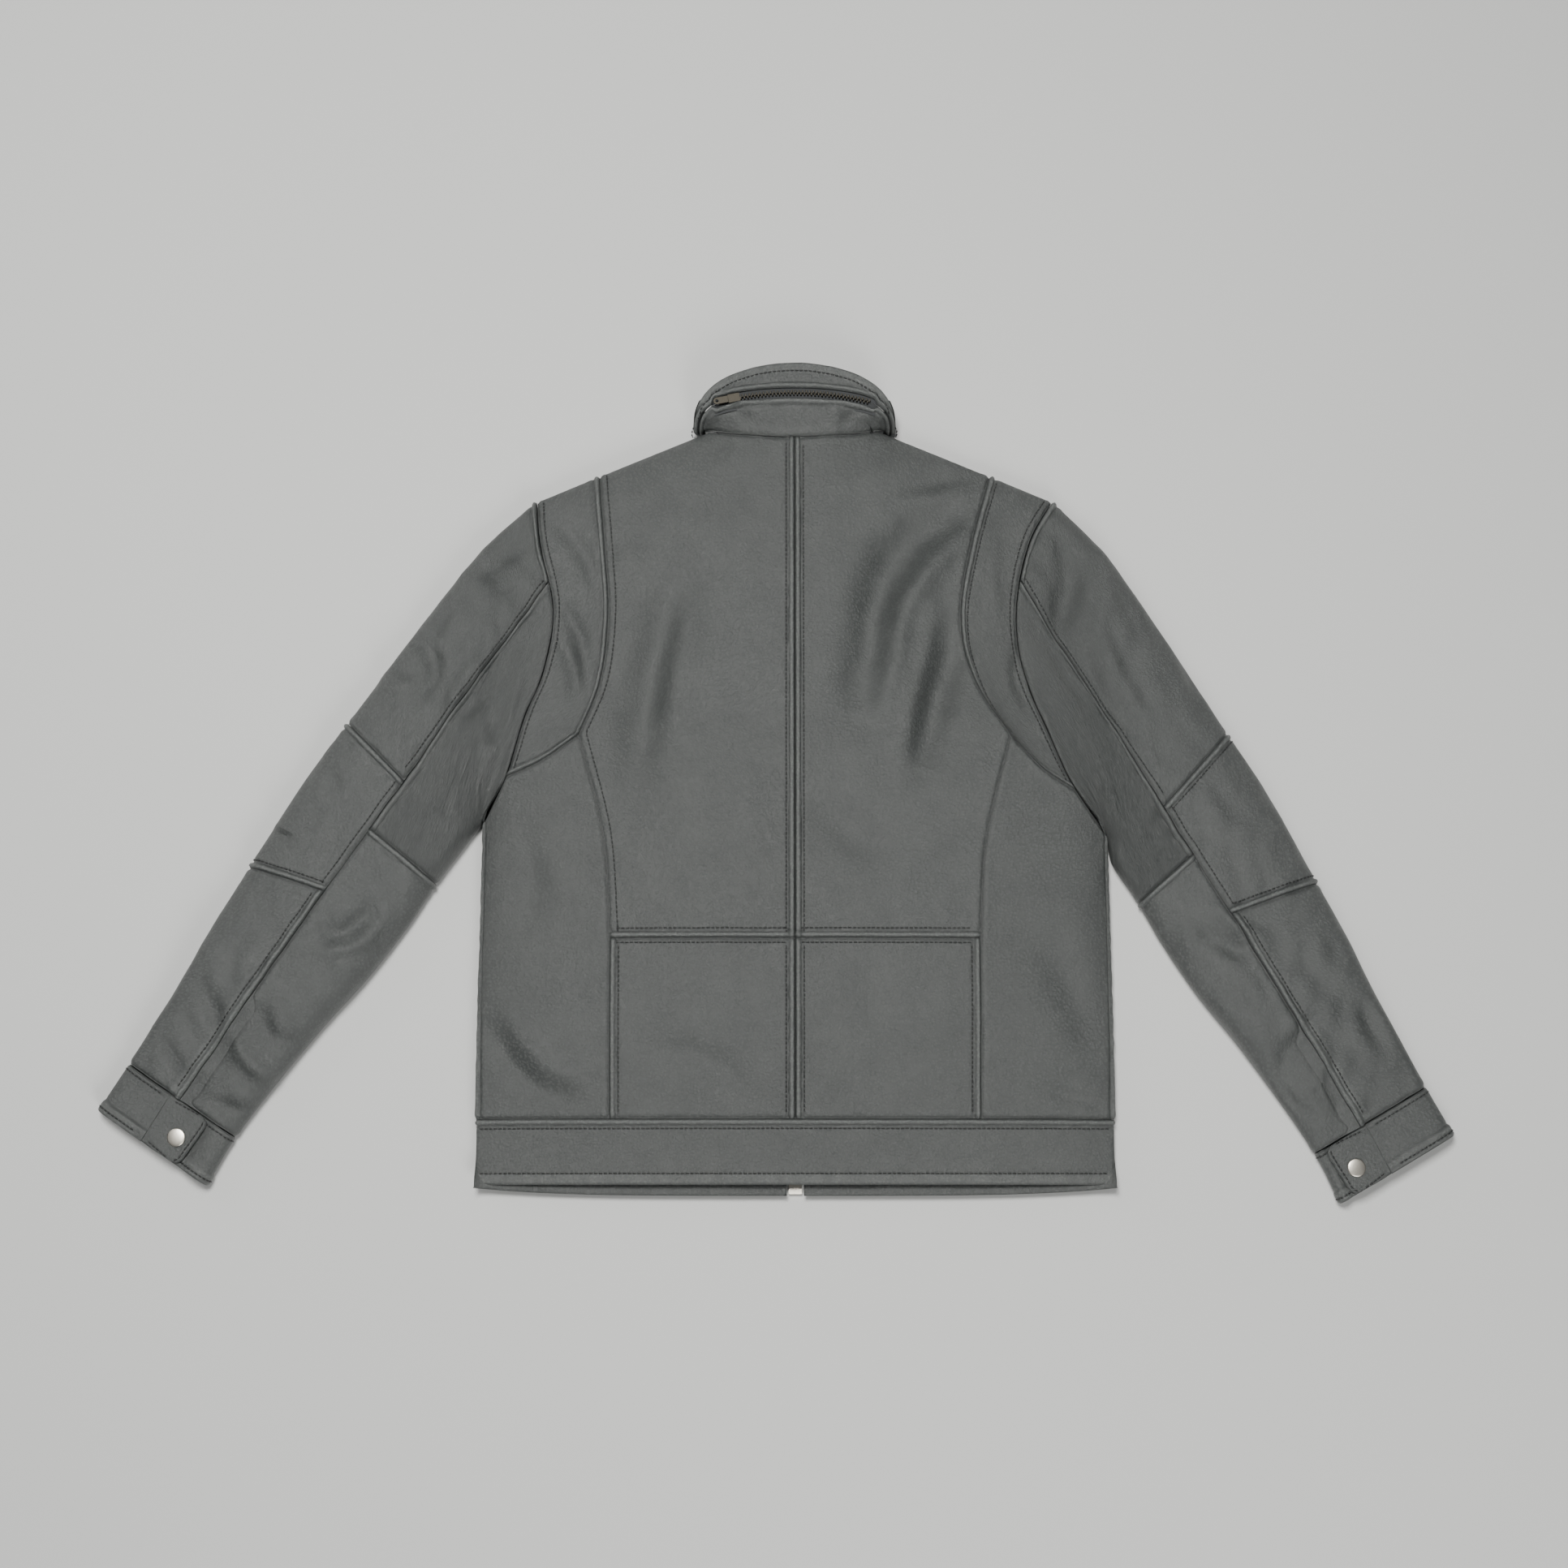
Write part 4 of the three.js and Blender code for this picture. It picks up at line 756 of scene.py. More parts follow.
def cast_metal(name, base, low, high, scale):
    """A worn metal: its roughness drifts between low and high, with fine tumbling marks in the bump."""
    material, tree, shader = new_finish(name, base, low, 1.0)
    marks = noise(tree, coordinates(tree, "Object"), scale, detail=4.0).outputs["Fac"]
    tree.links.new(mapped(tree, marks, low, high), shader.inputs["Roughness"])
    bumped(tree, shader, marks, 0.15, 0.0001)
    return material


@cache
def zip_metal():
    """Stamped and tumbled zip metal, oxidised to a dull dark grey."""
    return cast_metal("Tumbled zip metal", "#45423c", 0.5, 0.68, 900.0)


@cache
def satin_nickel():
    """Satin nickel plate on a brass snap cap: pale and warm, with a soft even reflection."""
    return cast_metal("Satin nickel plate", "#d2cdc3", 0.3, 0.42, 700.0)


@cache
def sewing_thread():
    """Bonded nylon thread, darker than the leather, with a soft glint."""
    material, tree, shader = new_finish("Bonded nylon thread", "#0f1011", 0.42)
    bumped(tree, shader, noise(tree, coordinates(tree, "Object"), 1500.0).outputs["Fac"], 0.3, 0.0001)
    return material


@cache
def studio_floor():
    """Matt seamless paper: pale, even, with no gloss."""
    material, tree, shader = new_finish("Pale seamless paper", "#c4c5c5", 0.9)
    pulp = noise(tree, coordinates(tree, "Object"), 300.0, detail=3.0).outputs["Fac"]
    bumped(tree, shader, pulp, 0.05, 0.0002)
    return material


FINISHES = {"leather": pebbled_leather, "lining": lining_cloth, "tape": zip_tape, "zip": zip_metal,
            "nickel": satin_nickel, "thread": sewing_thread, "floor": studio_floor}


# ---------------------------------------------------------------- seam lines of the body

def body_lines(side, sleeve):
    """The seam lines of one side in plan: the armhole, the shoulder panel's seam, the under-arm seam and the
    side-back seam, each through a few key points."""
    share = float(sleeve.seam(np.array([0.0]))[0])
    lap = lerp(share, 1, 0.81)
    arm = sleeve.armhole
    lap_point = along(arm, [lap])[0]
    tee = np.array([SIDE_TOP, TIP[1] - 0.735 * ARMHOLE])
    push = side["push"]
    yoke = through([shoulder_point(YOKE_TOP), (0.7 * TIP[0] + 0.7 * push, TIP[1] - 0.17 * ARMHOLE),
                    (0.67 * TIP[0] + push, TIP[1] - 0.38 * ARMHOLE),
                    (0.71 * TIP[0] + 0.7 * push, TIP[1] - 0.58 * ARMHOLE), tee])
    under = through([tee, (lerp(tee[0], lap_point[0], 0.5), lerp(tee[1], lap_point[1], 0.62)), lap_point])
    cross_end = np.array([SIDE_LOW + 1, LOWER_BACK])
    side_high = through([cross_end, (lerp(cross_end[0], tee[0], 0.25), lerp(cross_end[1], tee[1], 0.5)), tee])
    side_low = np.linspace([SIDE_LOW, WAISTBAND], cross_end, 20)
    return {"arm": arm, "lap": lap, "yoke": yoke, "under": under, "side_low": side_low, "side_high": side_high,
            "armpit": arm[-1], "cross_end": cross_end}


def line(a, b, count=60):
    """A straight line of points."""
    return np.linspace(a, b, count)


def neck_back(share):
    """Neck seam of the back, rising towards the neck points."""
    return np.stack([NECK_HALF * share, BACK_LENGTH + NECK_RISE * share ** 2], axis=-1)


def neck_front(share):
    """Neck seam of the front, a low scoop."""
    scoop = lerp(BACK_LENGTH - FRONT_NECK_DROP, BACK_LENGTH + NECK_RISE, np.abs(share) ** 1.4)
    return np.stack([NECK_HALF * share, scoop], axis=-1)


def outer_border(seams, low):
    """The side of the body from a height up to the armpit, and on along the armhole."""
    return np.vstack([line((BODY_HALF, low), seams["armpit"]), seams["arm"][::-1][1:]])


def front_borders(side, seams):
    """The four borders of a front above the waistband."""
    neck = neck_front(np.linspace(FRONT_EDGE / NECK_HALF, 1, 60))
    top = np.vstack([neck, line(shoulder_point(NECK_HALF), TIP)[1:]])
    return for_side(side, line((FRONT_EDGE, WAISTBAND), neck[0]), outer_border(seams, WAISTBAND),
                    line((FRONT_EDGE, WAISTBAND), (BODY_HALF, WAISTBAND)), top)


SLEEVES = {name: Sleeve(side) for name, side in SIDES.items()}
LINES = {name: body_lines(side, SLEEVES[name]) for name, side in SIDES.items()}
PLAIN = ("flat", ())


def seed_of(name):
    """A fixed number for each piece name."""
    return sum(ord(c) * (k + 3) for k, c in enumerate(name)) % 97


class JACKET_OT_back(bpy.types.Operator):
    """Back panels: lower back, upper back, side and shoulder panel of each side, with their topstitching."""
    bl_idname = "jacket.back"
    bl_label = "Back panels"

    def execute(self, context):
        bead, plain, row = ("bead", ()), PLAIN, ("bead", (ROW,))
        for name, side in SIDES.items():
            seams = LINES[name]
            right = name == "right"
            cross = line((0, LOWER_BACK), seams["cross_end"])
            neck = np.vstack([neck_back(np.linspace(0, 1, 60)),
                              line(shoulder_point(NECK_HALF), shoulder_point(YOKE_TOP))[1:]])
            under_arm = along(seams["arm"], np.linspace(seams["lap"], 1, 50))
            round_arm = along(seams["arm"], np.linspace(seams["lap"], 0, 120))
            # Each panel's name, CAD node, seed word, borders and edge kinds: inboard, outboard, bottom and top.
            panels = [
                ("lower_back", "back_lower", "lower",
                 (line((0, WAISTBAND), (0, LOWER_BACK)), seams["side_low"],
                  line((0, WAISTBAND), (SIDE_LOW, WAISTBAND)), cross),
                 (row, row, plain, ("flat", (4,)))),
                ("upper_back", "back_upper", "upper",
                 (line((0, LOWER_BACK), (0, BACK_LENGTH)),
                  np.vstack([seams["side_high"], seams["yoke"][::-1][1:]]), cross, neck),
                 (row, plain if right else ("flat", (7,)), ("bead", (8,)), plain)),
                ("side", "side_panel", "side",
                 (np.vstack([seams["side_low"], seams["side_high"][1:]]),
                  line((BODY_HALF, WAISTBAND), seams["armpit"]),
                  line((SIDE_LOW, WAISTBAND), (BODY_HALF, WAISTBAND)),
                  np.vstack([seams["under"], under_arm[1:]])),
                 (plain, bead, plain, plain)),
                ("shoulder", "shoulder_panel", "shoulder",
                 (seams["yoke"][::-1], round_arm, seams["under"], line(shoulder_point(YOKE_TOP), TIP)),
                 (row if right else bead, ("flat", (6,)), bead, plain)),
            ]
            for label, node, word, borders, kinds in panels:
                grid = body_grid(*for_side(side, *borders), back_height)
                sewn_panel(f"{label}_{name}", grid, "body", sided(side, *kinds), [f"{node}_{name}"],
                           seed=seed_of(word + name))
        return {"FINISHED"}


class JACKET_OT_front(bpy.types.Operator):
    """Front panels lying on the floor, and the waistband in front and behind."""
    bl_idname = "jacket.front"
    bl_label = "Front panels and waistband"

    def execute(self, context):
        ends = [line((x, 0), (x, WAISTBAND)) for x in (-BODY_HALF, BODY_HALF)]
        rims = [line((-BODY_HALF, y), (BODY_HALF, y)) for y in (0, WAISTBAND)]
        band = body_grid(*ends, *rims, back_height)
        sewn_panel("waistband_behind", band, "body", {"left": PLAIN, "right": PLAIN, "bottom": ("hem", (9,)),
                                                      "top": ("bead", (8,))},
                   ["waistband_back"], seed=4,
                   folds=0.6)
        for name, side in SIDES.items():
            grid = body_grid(*front_borders(side, LINES[name]), front_height, step=5)
            sewn_panel(f"front_{name}", grid, "body", sided(side, ("cut", ()), PLAIN, PLAIN, PLAIN),
                       [f"front_panel_{name}"], flip=-1, seed=seed_of("front" + name))
            t = np.linspace(0, 1, 60)
            hem = np.stack([lerp(FRONT_EDGE, BODY_HALF, t), -FRONT_DROP * lerp(1, 0.3, t ** 4)], axis=-1)
            band = for_side(side, line((FRONT_EDGE, -FRONT_DROP), (FRONT_EDGE, WAISTBAND)),
                            line((BODY_HALF, -0.3 * FRONT_DROP), (BODY_HALF, WAISTBAND)), hem,
                            line((FRONT_EDGE, WAISTBAND), (BODY_HALF, WAISTBAND)))
            raised = lambda x, y: front_height(x, y) + 8 * smooth((24 - y) / 24)
            sewn_panel(f"front_waistband_{name}", body_grid(*band, raised, step=4), "body",
                       sided(side, ("cut", ()), PLAIN, ("cut", (8,)), PLAIN),
                       [f"waistband_front_{name}"], flip=-1, seed=seed_of("band" + name))
        return {"FINISHED"}


def offset_cloth(name, base, depth, body, nodes, flip=1, blend=None, seed=0):
    """A cloth sheet lying inside the leather: the base surface moved inwards by depth, with loose creases."""
    n = normals_of(base) * flip
    base = inset(base, 4)
    loose = 0.4 * np.clip(n[..., 2], 0, 1) * waves(base[..., 0], base[..., 1], 45, 21)
    near = np.minimum.reduce(list(edge_distances(base).values()))
    deep = depth + loose * smooth(near / 20) - lying_rise(base, n, 1, 0)
    obj = closed_sheet(name, base - n * deep[..., None], base - n * (deep + CLOTH)[..., None], seed)
    skin(obj, "lining", nodes)
    attach(obj, body, blend)
    size, area = flat_size(base)


class JACKET_OT_linings(bpy.types.Operator):
    """Linings of the back and the fronts, inside the leather."""
    bl_idname = "jacket.linings"
    bl_label = "Body linings"

    def execute(self, context):
        low = 0.85 * WAISTBAND
        for name, side in SIDES.items():
            edge = outer_border(LINES[name], low)
            x = np.linspace(0.2 - 4, TIP[0], 120)
            share = x / NECK_HALF
            neck = BACK_LENGTH + NECK_RISE * share ** 2 - 6 * (1 - share ** 4)
            top = np.stack([x, np.where(share < 1, neck, upper_edge(x))], axis=-1)
            back = for_side(side, line((x[0], low), top[0]), edge, line((x[0], low), (BODY_HALF, low)), top)
            offset_cloth(f"back_lining_{name}", body_grid(*back, back_height, step=6), BACK_DEPTH, "body",
                         [f"lining_back_{name}"], seed=seed_of("bl" + name))
        for name, side in SIDES.items():
            front = body_grid(*front_borders(side, LINES[name]), front_height, step=7)
            offset_cloth(f"front_lining_{name}", front, FRONT_DEPTH, "body", [f"lining_front_{name}"], flip=-1,
                         seed=seed_of("fl" + name))
        return {"FINISHED"}


# ---------------------------------------------------------------- sleeves

def sleeve_grid(name, s0, s1, part, step=3.0):
    """Grid of a sleeve panel from section s0 to s1. Part outer wraps the outer edge and part under the inner
    edge, each from the back seam round to the middle of the front half."""
    sleeve = SLEEVES[name]
    s_line = np.linspace(s0, s1, 200)
    middle = sleeve.place(s_line, np.full_like(s_line, 0.5))
    run = lengths(middle)
    s = np.interp(stops(run[-1], step) * run[-1], run, s_line)
    tau = np.linspace(-1, 1, 401)
    clear = 0.5 * SEAM_GAP / SLEEVE_WIDTH

    def turn(section, tau):
        seam = sleeve.seam(section)
        if part == "outer":
            return -np.sign(tau) * tau ** 2 * (seam - clear)
        own = 1 - tau ** 2
        return np.where(tau < 0, 1, -1) * lerp(seam + clear, 1, own)

    mid = np.full_like(tau, 0.5 * (s0 + s1))
    ring = sleeve.place(mid, turn(mid, tau))
    arc = lengths(ring)
    tau_stops = np.interp(stops(arc[-1], step) * arc[-1], arc, tau)
    section, t = np.meshgrid(s, tau_stops, indexing="ij")
    return sleeve.place(section, turn(section, t))


def facing(grid):
    """1 where the grid's normals point up on its highest part, else -1."""
    n = normals_of(grid)
    high = grid[..., 2] > np.percentile(grid[..., 2], 80)
    return 1 if n[..., 2][high].mean() > 0 else -1


def upper_bend(name):
    """The stretch just outside the armhole where the sleeve folds on the body."""
    sign = SIDES[name]["sign"]
    a, b = on_frame([(sign * (BODY_HALF + far), 300, 0) for far in UPPER_BEND])
    return {"a": "body", "b": f"sleeve_{name}", "start": a, "end": b, "key": f"upper_{name}"}


def elbow_bend(name):
    """The stretch below the elbow seam where the forearm bends."""
    sleeve, sign = SLEEVES[name], SIDES[name]["sign"]
    ends = [sleeve.to_plan(np.array([along_mm, 60.0])) for along_mm in ELBOW_BEND]
    a, b = on_frame([(sign * p[0], p[1], 0) for p in ends])
    return {"a": f"sleeve_{name}", "b": f"forearm_{name}", "start": a, "end": b, "key": f"lower_{name}"}


def vent_lip(start, side_of_seam, height, reach):
    """Open vent above the cuff: from start mm along the seam edge, its lip lifts or sinks by height."""
    def shape(d):
        return height * smooth((d["bottom"] - start) / 16) * np.exp(-(d[side_of_seam] / reach) ** 2)
    return shape


class JACKET_OT_sleeves(bpy.types.Operator):
    """Sleeve panels: the outer and under panels above and below the elbow, and the elbow patches."""
    bl_idname = "jacket.sleeves"
    bl_label = "Sleeve panels"

    def execute(self, context):
        vent = {"lower_outer": vent_lip(96, "left", 3.2, 8), "lower_under": vent_lip(166, "left", -4.5, 8)}
        bead, flat = ("bead", ()), PLAIN
        for name in SIDES:
            pieces = [
                ("upper_outer", 0.0, 3.0, "outer", upper_bend(name),
                 {"left": ("flat", (5.5,)), "right": flat, "bottom": bead, "top": flat},
                 f"sleeve_upper_outer_{name}"),
                ("upper_under", 0.0, 4.0, "under", upper_bend(name),
                 {"left": bead, "right": flat, "bottom": flat, "top": flat}, f"sleeve_upper_under_{name}"),
                ("patch", 3.0, 5.0, "outer", elbow_bend(name),
                 {"left": ("flat", (5.5,)), "right": flat,
                  "bottom": ("bead", (ROW,)) if name == "right" else bead, "top": ("bead", (ROW,))},
                 f"elbow_patch_{name}"),
                ("lower_outer", 5.0, 8.0, "outer", elbow_bend(name),
                 {"left": ("bead", (ROW,)), "right": flat, "bottom": flat, "top": flat},
                 f"sleeve_lower_outer_{name}"),
                ("lower_under", 4.0, 8.0, "under", elbow_bend(name),
                 {"left": flat, "right": flat, "bottom": bead, "top": flat}, f"sleeve_lower_under_{name}"),
            ]
            for label, s0, s1, part, bend, edges, node in pieces:
                grid = sleeve_grid(name, s0, s1, part)
                sewn_panel(f"{label}_{name}", grid, bend["b"], edges, [node], flip=facing(grid),
                           seed=seed_of(label + name), blend=bend, cross=0.8,
                           shape=vent.get(label))
        return {"FINISHED"}


class JACKET_OT_sleeve_linings(bpy.types.Operator):
    """Linings of the sleeves: rolled sheets inside the leather."""
    bl_idname = "jacket.sleeve_linings"
    bl_label = "Sleeve linings"

    def execute(self, context):
        for name in SIDES:
            halves = ("upper", 0.0, 4.0, upper_bend(name)), ("lower", 4.0, 8.0, elbow_bend(name))
            for label, s0, s1, bend in halves:
                outer = sleeve_grid(name, s0, s1, "outer", step=6)
                under = sleeve_grid(name, s0, s1, "under", step=6)
                grid = np.concatenate([under[:, ::-1], outer[:, 1:]], axis=1)
                offset_cloth(f"{label}_sleeve_lining_{name}", grid, SLEEVE_DEPTH, bend["b"],
                             [f"sleeve_lining_{label}_{name}"], flip=facing(grid), blend=bend,
                             seed=seed_of("sl" + label + name))
        return {"FINISHED"}


def tab_frame(name):
    """Corner of the tab's hinge line and its two directions: across the sleeve and up the sleeve."""
    sleeve, side = SLEEVES[name], SIDES[name]
    hinge = (side["tab_end"] - TAB_FLAP) / CUFF_WIDTH
    across = lambda share: sleeve.flat(np.array(9.0), np.array(share))[1]
    flap = across(side["tab_end"] / CUFF_WIDTH) - across(hinge) - 0.3
    base = sleeve.to_plan(np.array([SLEEVE_LENGTH - 0.3, across(hinge) + 0.3]))
    sign, angle = side["sign"], math.radians(side["lay"])
    corner = np.array([sign * (base[0] + ARMHOLE_GAP), base[1], CUFF_HEIGHT - LEATHER])
    out = np.array([-sign * math.cos(angle), -math.sin(angle), 0.0])
    up = np.array([-sign * math.sin(angle), math.cos(angle), 0.0])
    return corner, out, up, flap


class JACKET_OT_cuffs(bpy.types.Operator):
    """Cuff bands, sunk under the tab, and the tabs that fasten over them."""
    bl_idname = "jacket.cuffs"
    bl_label = "Cuffs and tabs"

    def execute(self, context):
        for name, side in SIDES.items():
            sleeve = SLEEVES[name]
            hinge = (side["tab_end"] - TAB_FLAP) / CUFF_WIDTH
            tab = side["tab_end"] / CUFF_WIDTH
            sunk = LEATHER + TAB_RAISE
            first = hinge + 4 / CUFF_WIDTH
            keys = [(first, sunk), (tab, sunk), (lerp(tab, 1, 0.3), 0.3 * sunk), (lerp(tab, 1, 0.6), 0),
                    (0.985, 0), (1.0, 0)]
            over = np.linspace(0, 1, 200)
            q1 = np.interp(over, np.linspace(0, 1, len(keys)), [k[0] for k in keys])
            e1 = np.interp(q1, [k[0] for k in keys], [k[1] for k in keys])
            tau = np.linspace(-1, 1, 400)
            q2 = -0.5 + 0.5 * np.sin(tau * np.pi / 2)
            q3 = hinge * np.linspace(0, 1, 120) ** 2
            q = np.concatenate([q1, q2[1:], q3[1:]])
            extra = np.concatenate([e1, np.zeros(len(q2) - 1 + len(q3) - 1)])
            ring = sleeve.place(np.full_like(q, 8.5), q)
            arc = lengths(ring)
            at = stops(arc[-1], 2.5) * arc[-1]
            q, extra = np.interp(at, arc, q), np.interp(at, arc, extra)
            s = CUFF_FROM + (9 - CUFF_FROM) * stops(CUFF_DEPTH, 2.5)
            section, turn = np.meshgrid(s, q, indexing="ij")
            grid = sleeve.place(section, turn)
            grid[..., 2] -= extra[None]
            sewn_panel(f"cuff_{name}", grid, f"forearm_{name}",
                       {"left": ("cut", ()), "right": ("none", ()), "bottom": ("cut", (4,)),
                        "top": ("hem", (4,))},
                       [f"cuff_band_{name}"], flip=facing(grid), seed=seed_of("cuff" + name), folds=0.4)
            corner, out, up, flap = tab_frame(name)
            deep, round_off = CUFF_DEPTH - 1, 8.0
            b = stops(deep, 1.5) * deep
            short = np.maximum(round_off - b, 0) + np.maximum(b - deep + round_off, 0)
            reach = flap - round_off + np.sqrt(np.maximum(round_off ** 2 - short ** 2, 0))
            root = sleeve.flat(9 - b / CUFF_DEPTH, 0 * b + hinge)[:, 1]
            root = root - root[0] - 0.45
            a = stops(flap, 1.5)
            height = LEATHER + 0.9 * np.sin(np.pi * np.clip(a, 0, 1)) ** 0.8
            raised = (np.zeros((len(b), 1)) + height[None])[..., None] * np.array([0, 0, 1.0])
            away = lerp(root[:, None], reach[:, None], a[None, :])[..., None]
            grid = corner + away * out + b[:, None, None] * up + raised
            start, end = on_frame([corner, corner + TAB_BEND * out])
            sewn_panel(f"tab_{name}", grid, f"tab_{name}",
                       {"left": ("none", ()), "right": ("cut", (3.2,)), "bottom": ("cut", (3.2,)),
                        "top": ("cut", (3.2,))}, [f"cuff_tab_{name}"], flip=facing(grid),
                       seed=seed_of("tab" + name), folds=0.0,
                       blend={"a": f"forearm_{name}", "b": f"tab_{name}", "start": start, "end": end,
                              "key": f"tab_{name}"})
        return {"FINISHED"}


# ---------------------------------------------------------------- collar and zips

def collar_point(share, over, h):
    """Point of the flattened collar ring at a share of its width and of its height: the back half arches up to
    the collar's ellipse, and the front half lies on the floor below it."""
    spread = np.where(over, share, np.sign(share) * np.abs(share) ** 24)
    x = NECK_HALF * share + (COLLAR_HALF - NECK_HALF) * h * spread
    back_edge = lerp(COLLAR_FOLD, BACK_LENGTH + COLLAR_HEIGHT, np.sqrt(np.maximum(0, 1 - share ** 2)))
    low_back = neck_back(share)
    own = EDGE_HEIGHT + (COLLAR_TOP - EDGE_HEIGHT) * crown(share, 12, 2.5)
    seam_height = back_height(NECK_HALF * share, low_back[..., 1])
    back = np.stack([x, lerp(low_back[..., 1], back_edge, h), lerp(seam_height, own, smooth(h / 0.4))], axis=-1)
    front_edge = lerp(BACK_LENGTH - 12, COLLAR_FOLD, np.abs(share) ** 1.6)
    low_front = neck_front(share)
    on_floor = EDGE_HEIGHT * (1 - crown(share, 16, 2))
    front = np.stack([x, lerp(low_front[..., 1], front_edge, h), on_floor], axis=-1)
    return np.where(over[..., None], back, front)


def collar_columns():
    """Shares round the collar: front left, back and front right, closer together at the folds."""
    t = np.linspace(-1, 1, 121)
    back = np.sin(0.5 * np.pi * t)
    front = 1 - (1 - FRONT_EDGE / NECK_HALF) * np.linspace(0, 1, 50)[1:] ** 2
    share = np.concatenate([-front[::-1], back, front])
    over = np.concatenate([np.zeros(49, bool), np.ones(121, bool), np.zeros(49, bool)])
    return share, over


def collar_grid(low, high, step=2.5):
    """Grid of a collar piece between two height lines, each a share and a function giving extra mm."""
    share, over = collar_columns()
    tall = np.linalg.norm(collar_point(share, over, np.ones_like(share))
                          - collar_point(share, over, np.zeros_like(share)), axis=-1)
    h0, h1 = [part + extra(share, over) / tall for part, extra in (low, high)]
    t = stops(abs(high[0] - low[0]) * 60, step)
    h = lerp(h0[None], h1[None], t[:, None])
    return collar_point(np.broadcast_to(share, h.shape), np.broadcast_to(over, h.shape), h)


def zip_clear(share, over):
    """Distance of the leather edge from the middle of the collar zip."""
    beside = np.where(over, smooth((ZIP_SHARE + 0.03 - np.abs(share)) / 0.06), 0)
    return lerp(SEAM_GAP, TEETH_CLEAR, beside)


def zip_arc():
    """Centre height in plan, radius and half angle of the collar zip's arc, from three points of the collar."""
    one = np.array([True])
    middle = collar_point(np.array([0.0]), one, np.array([COLLAR_ZIP_AT]))[0]
    end = collar_point(np.array([0.92 * ZIP_SHARE]), one, np.array([COLLAR_ZIP_AT]))[0]
    sag = middle[1] - end[1]
    radius = (end[0] ** 2 + sag ** 2) / (2 * sag)
    return middle[1] - radius, radius, math.asin(end[0] / radius)


class JACKET_OT_collar(bpy.types.Operator):
    """Collar stand and collar band, parted by the curved zip at the back."""
    bl_idname = "jacket.collar"
    bl_label = "Collar"

    def execute(self, context):
        none = lambda share, over: 0 * share + SEAM_GAP
        stand = collar_grid((0, none), (COLLAR_ZIP_AT, lambda s, o: -zip_clear(s, o)))
        band = collar_grid((COLLAR_ZIP_AT, zip_clear), (1, lambda s, o: 0 * s))
        sewn_panel("stand_of_collar", stand, "body", {"left": ("cut", ()), "right": ("cut", ()),
                                                      "bottom": ("flat", ()), "top": ("bead", ())},
                   ["collar_stand"], flip=facing(stand), seed=51, folds=0.5, cross=0.35)
        sewn_panel("band_of_collar", band, "body", {"left": ("cut", ()), "right": ("cut", ()),
                                                    "bottom": ("bead", ()), "top": ("hem", (8,))},
                   ["collar_band"], flip=facing(band), seed=52, folds=0.5, cross=0.2)
        return {"FINISHED"}


def tooth_shape(width, length, height):
    """Corners and faces of one zip tooth: a block narrowed on top."""
    w, k, h = 0.5 * width, 0.5 * length, height
    low = [(-w, -k, 0), (w, -k, 0), (w, k, 0), (-w, k, 0)]
    mid = [(x, y, 0.6 * h) for x, y, _ in low]
    top = [(0.72 * x, 0.6 * y, h) for x, y, _ in low]
    verts = np.array(low + mid + top)
    faces = [(3, 2, 1, 0), (8, 9, 10, 11)]
    for base in (0, 4):
        faces += [(base + k, base + (k + 1) % 4, base + 4 + (k + 1) % 4, base + 4 + k) for k in range(4)]
    return verts, np.array(faces)


def copies(verts, faces, places, x_way, y_way, z_way):
    """Copies of one shape at many places, each turned to its own three directions."""
    many = (places[:, None] + verts[None, :, :1] * x_way[:, None] + verts[None, :, 1:2] * y_way[:, None]
            + verts[None, :, 2:] * z_way[:, None])
    index = faces[None] + (np.arange(len(places)) * len(verts))[:, None, None]
    return many.reshape(-1, 3), index.reshape(-1, faces.shape[1])


def teeth_row(name, centres, run, side_way, up, nodes):
    """Two rows of interlocked teeth along a line: every other tooth reaches in from the other side."""
    verts, faces = tooth_shape(3.1, 1.25, 2.0)
    shift = np.where(np.arange(len(centres)) % 2 == 0, -0.95, 0.95)
    v, f = copies(verts, faces, centres + side_way * shift[:, None], side_way, run, up)
    obj = make_mesh(name, v, f)
    skin(obj, "zip", nodes)
    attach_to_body(obj, "body")


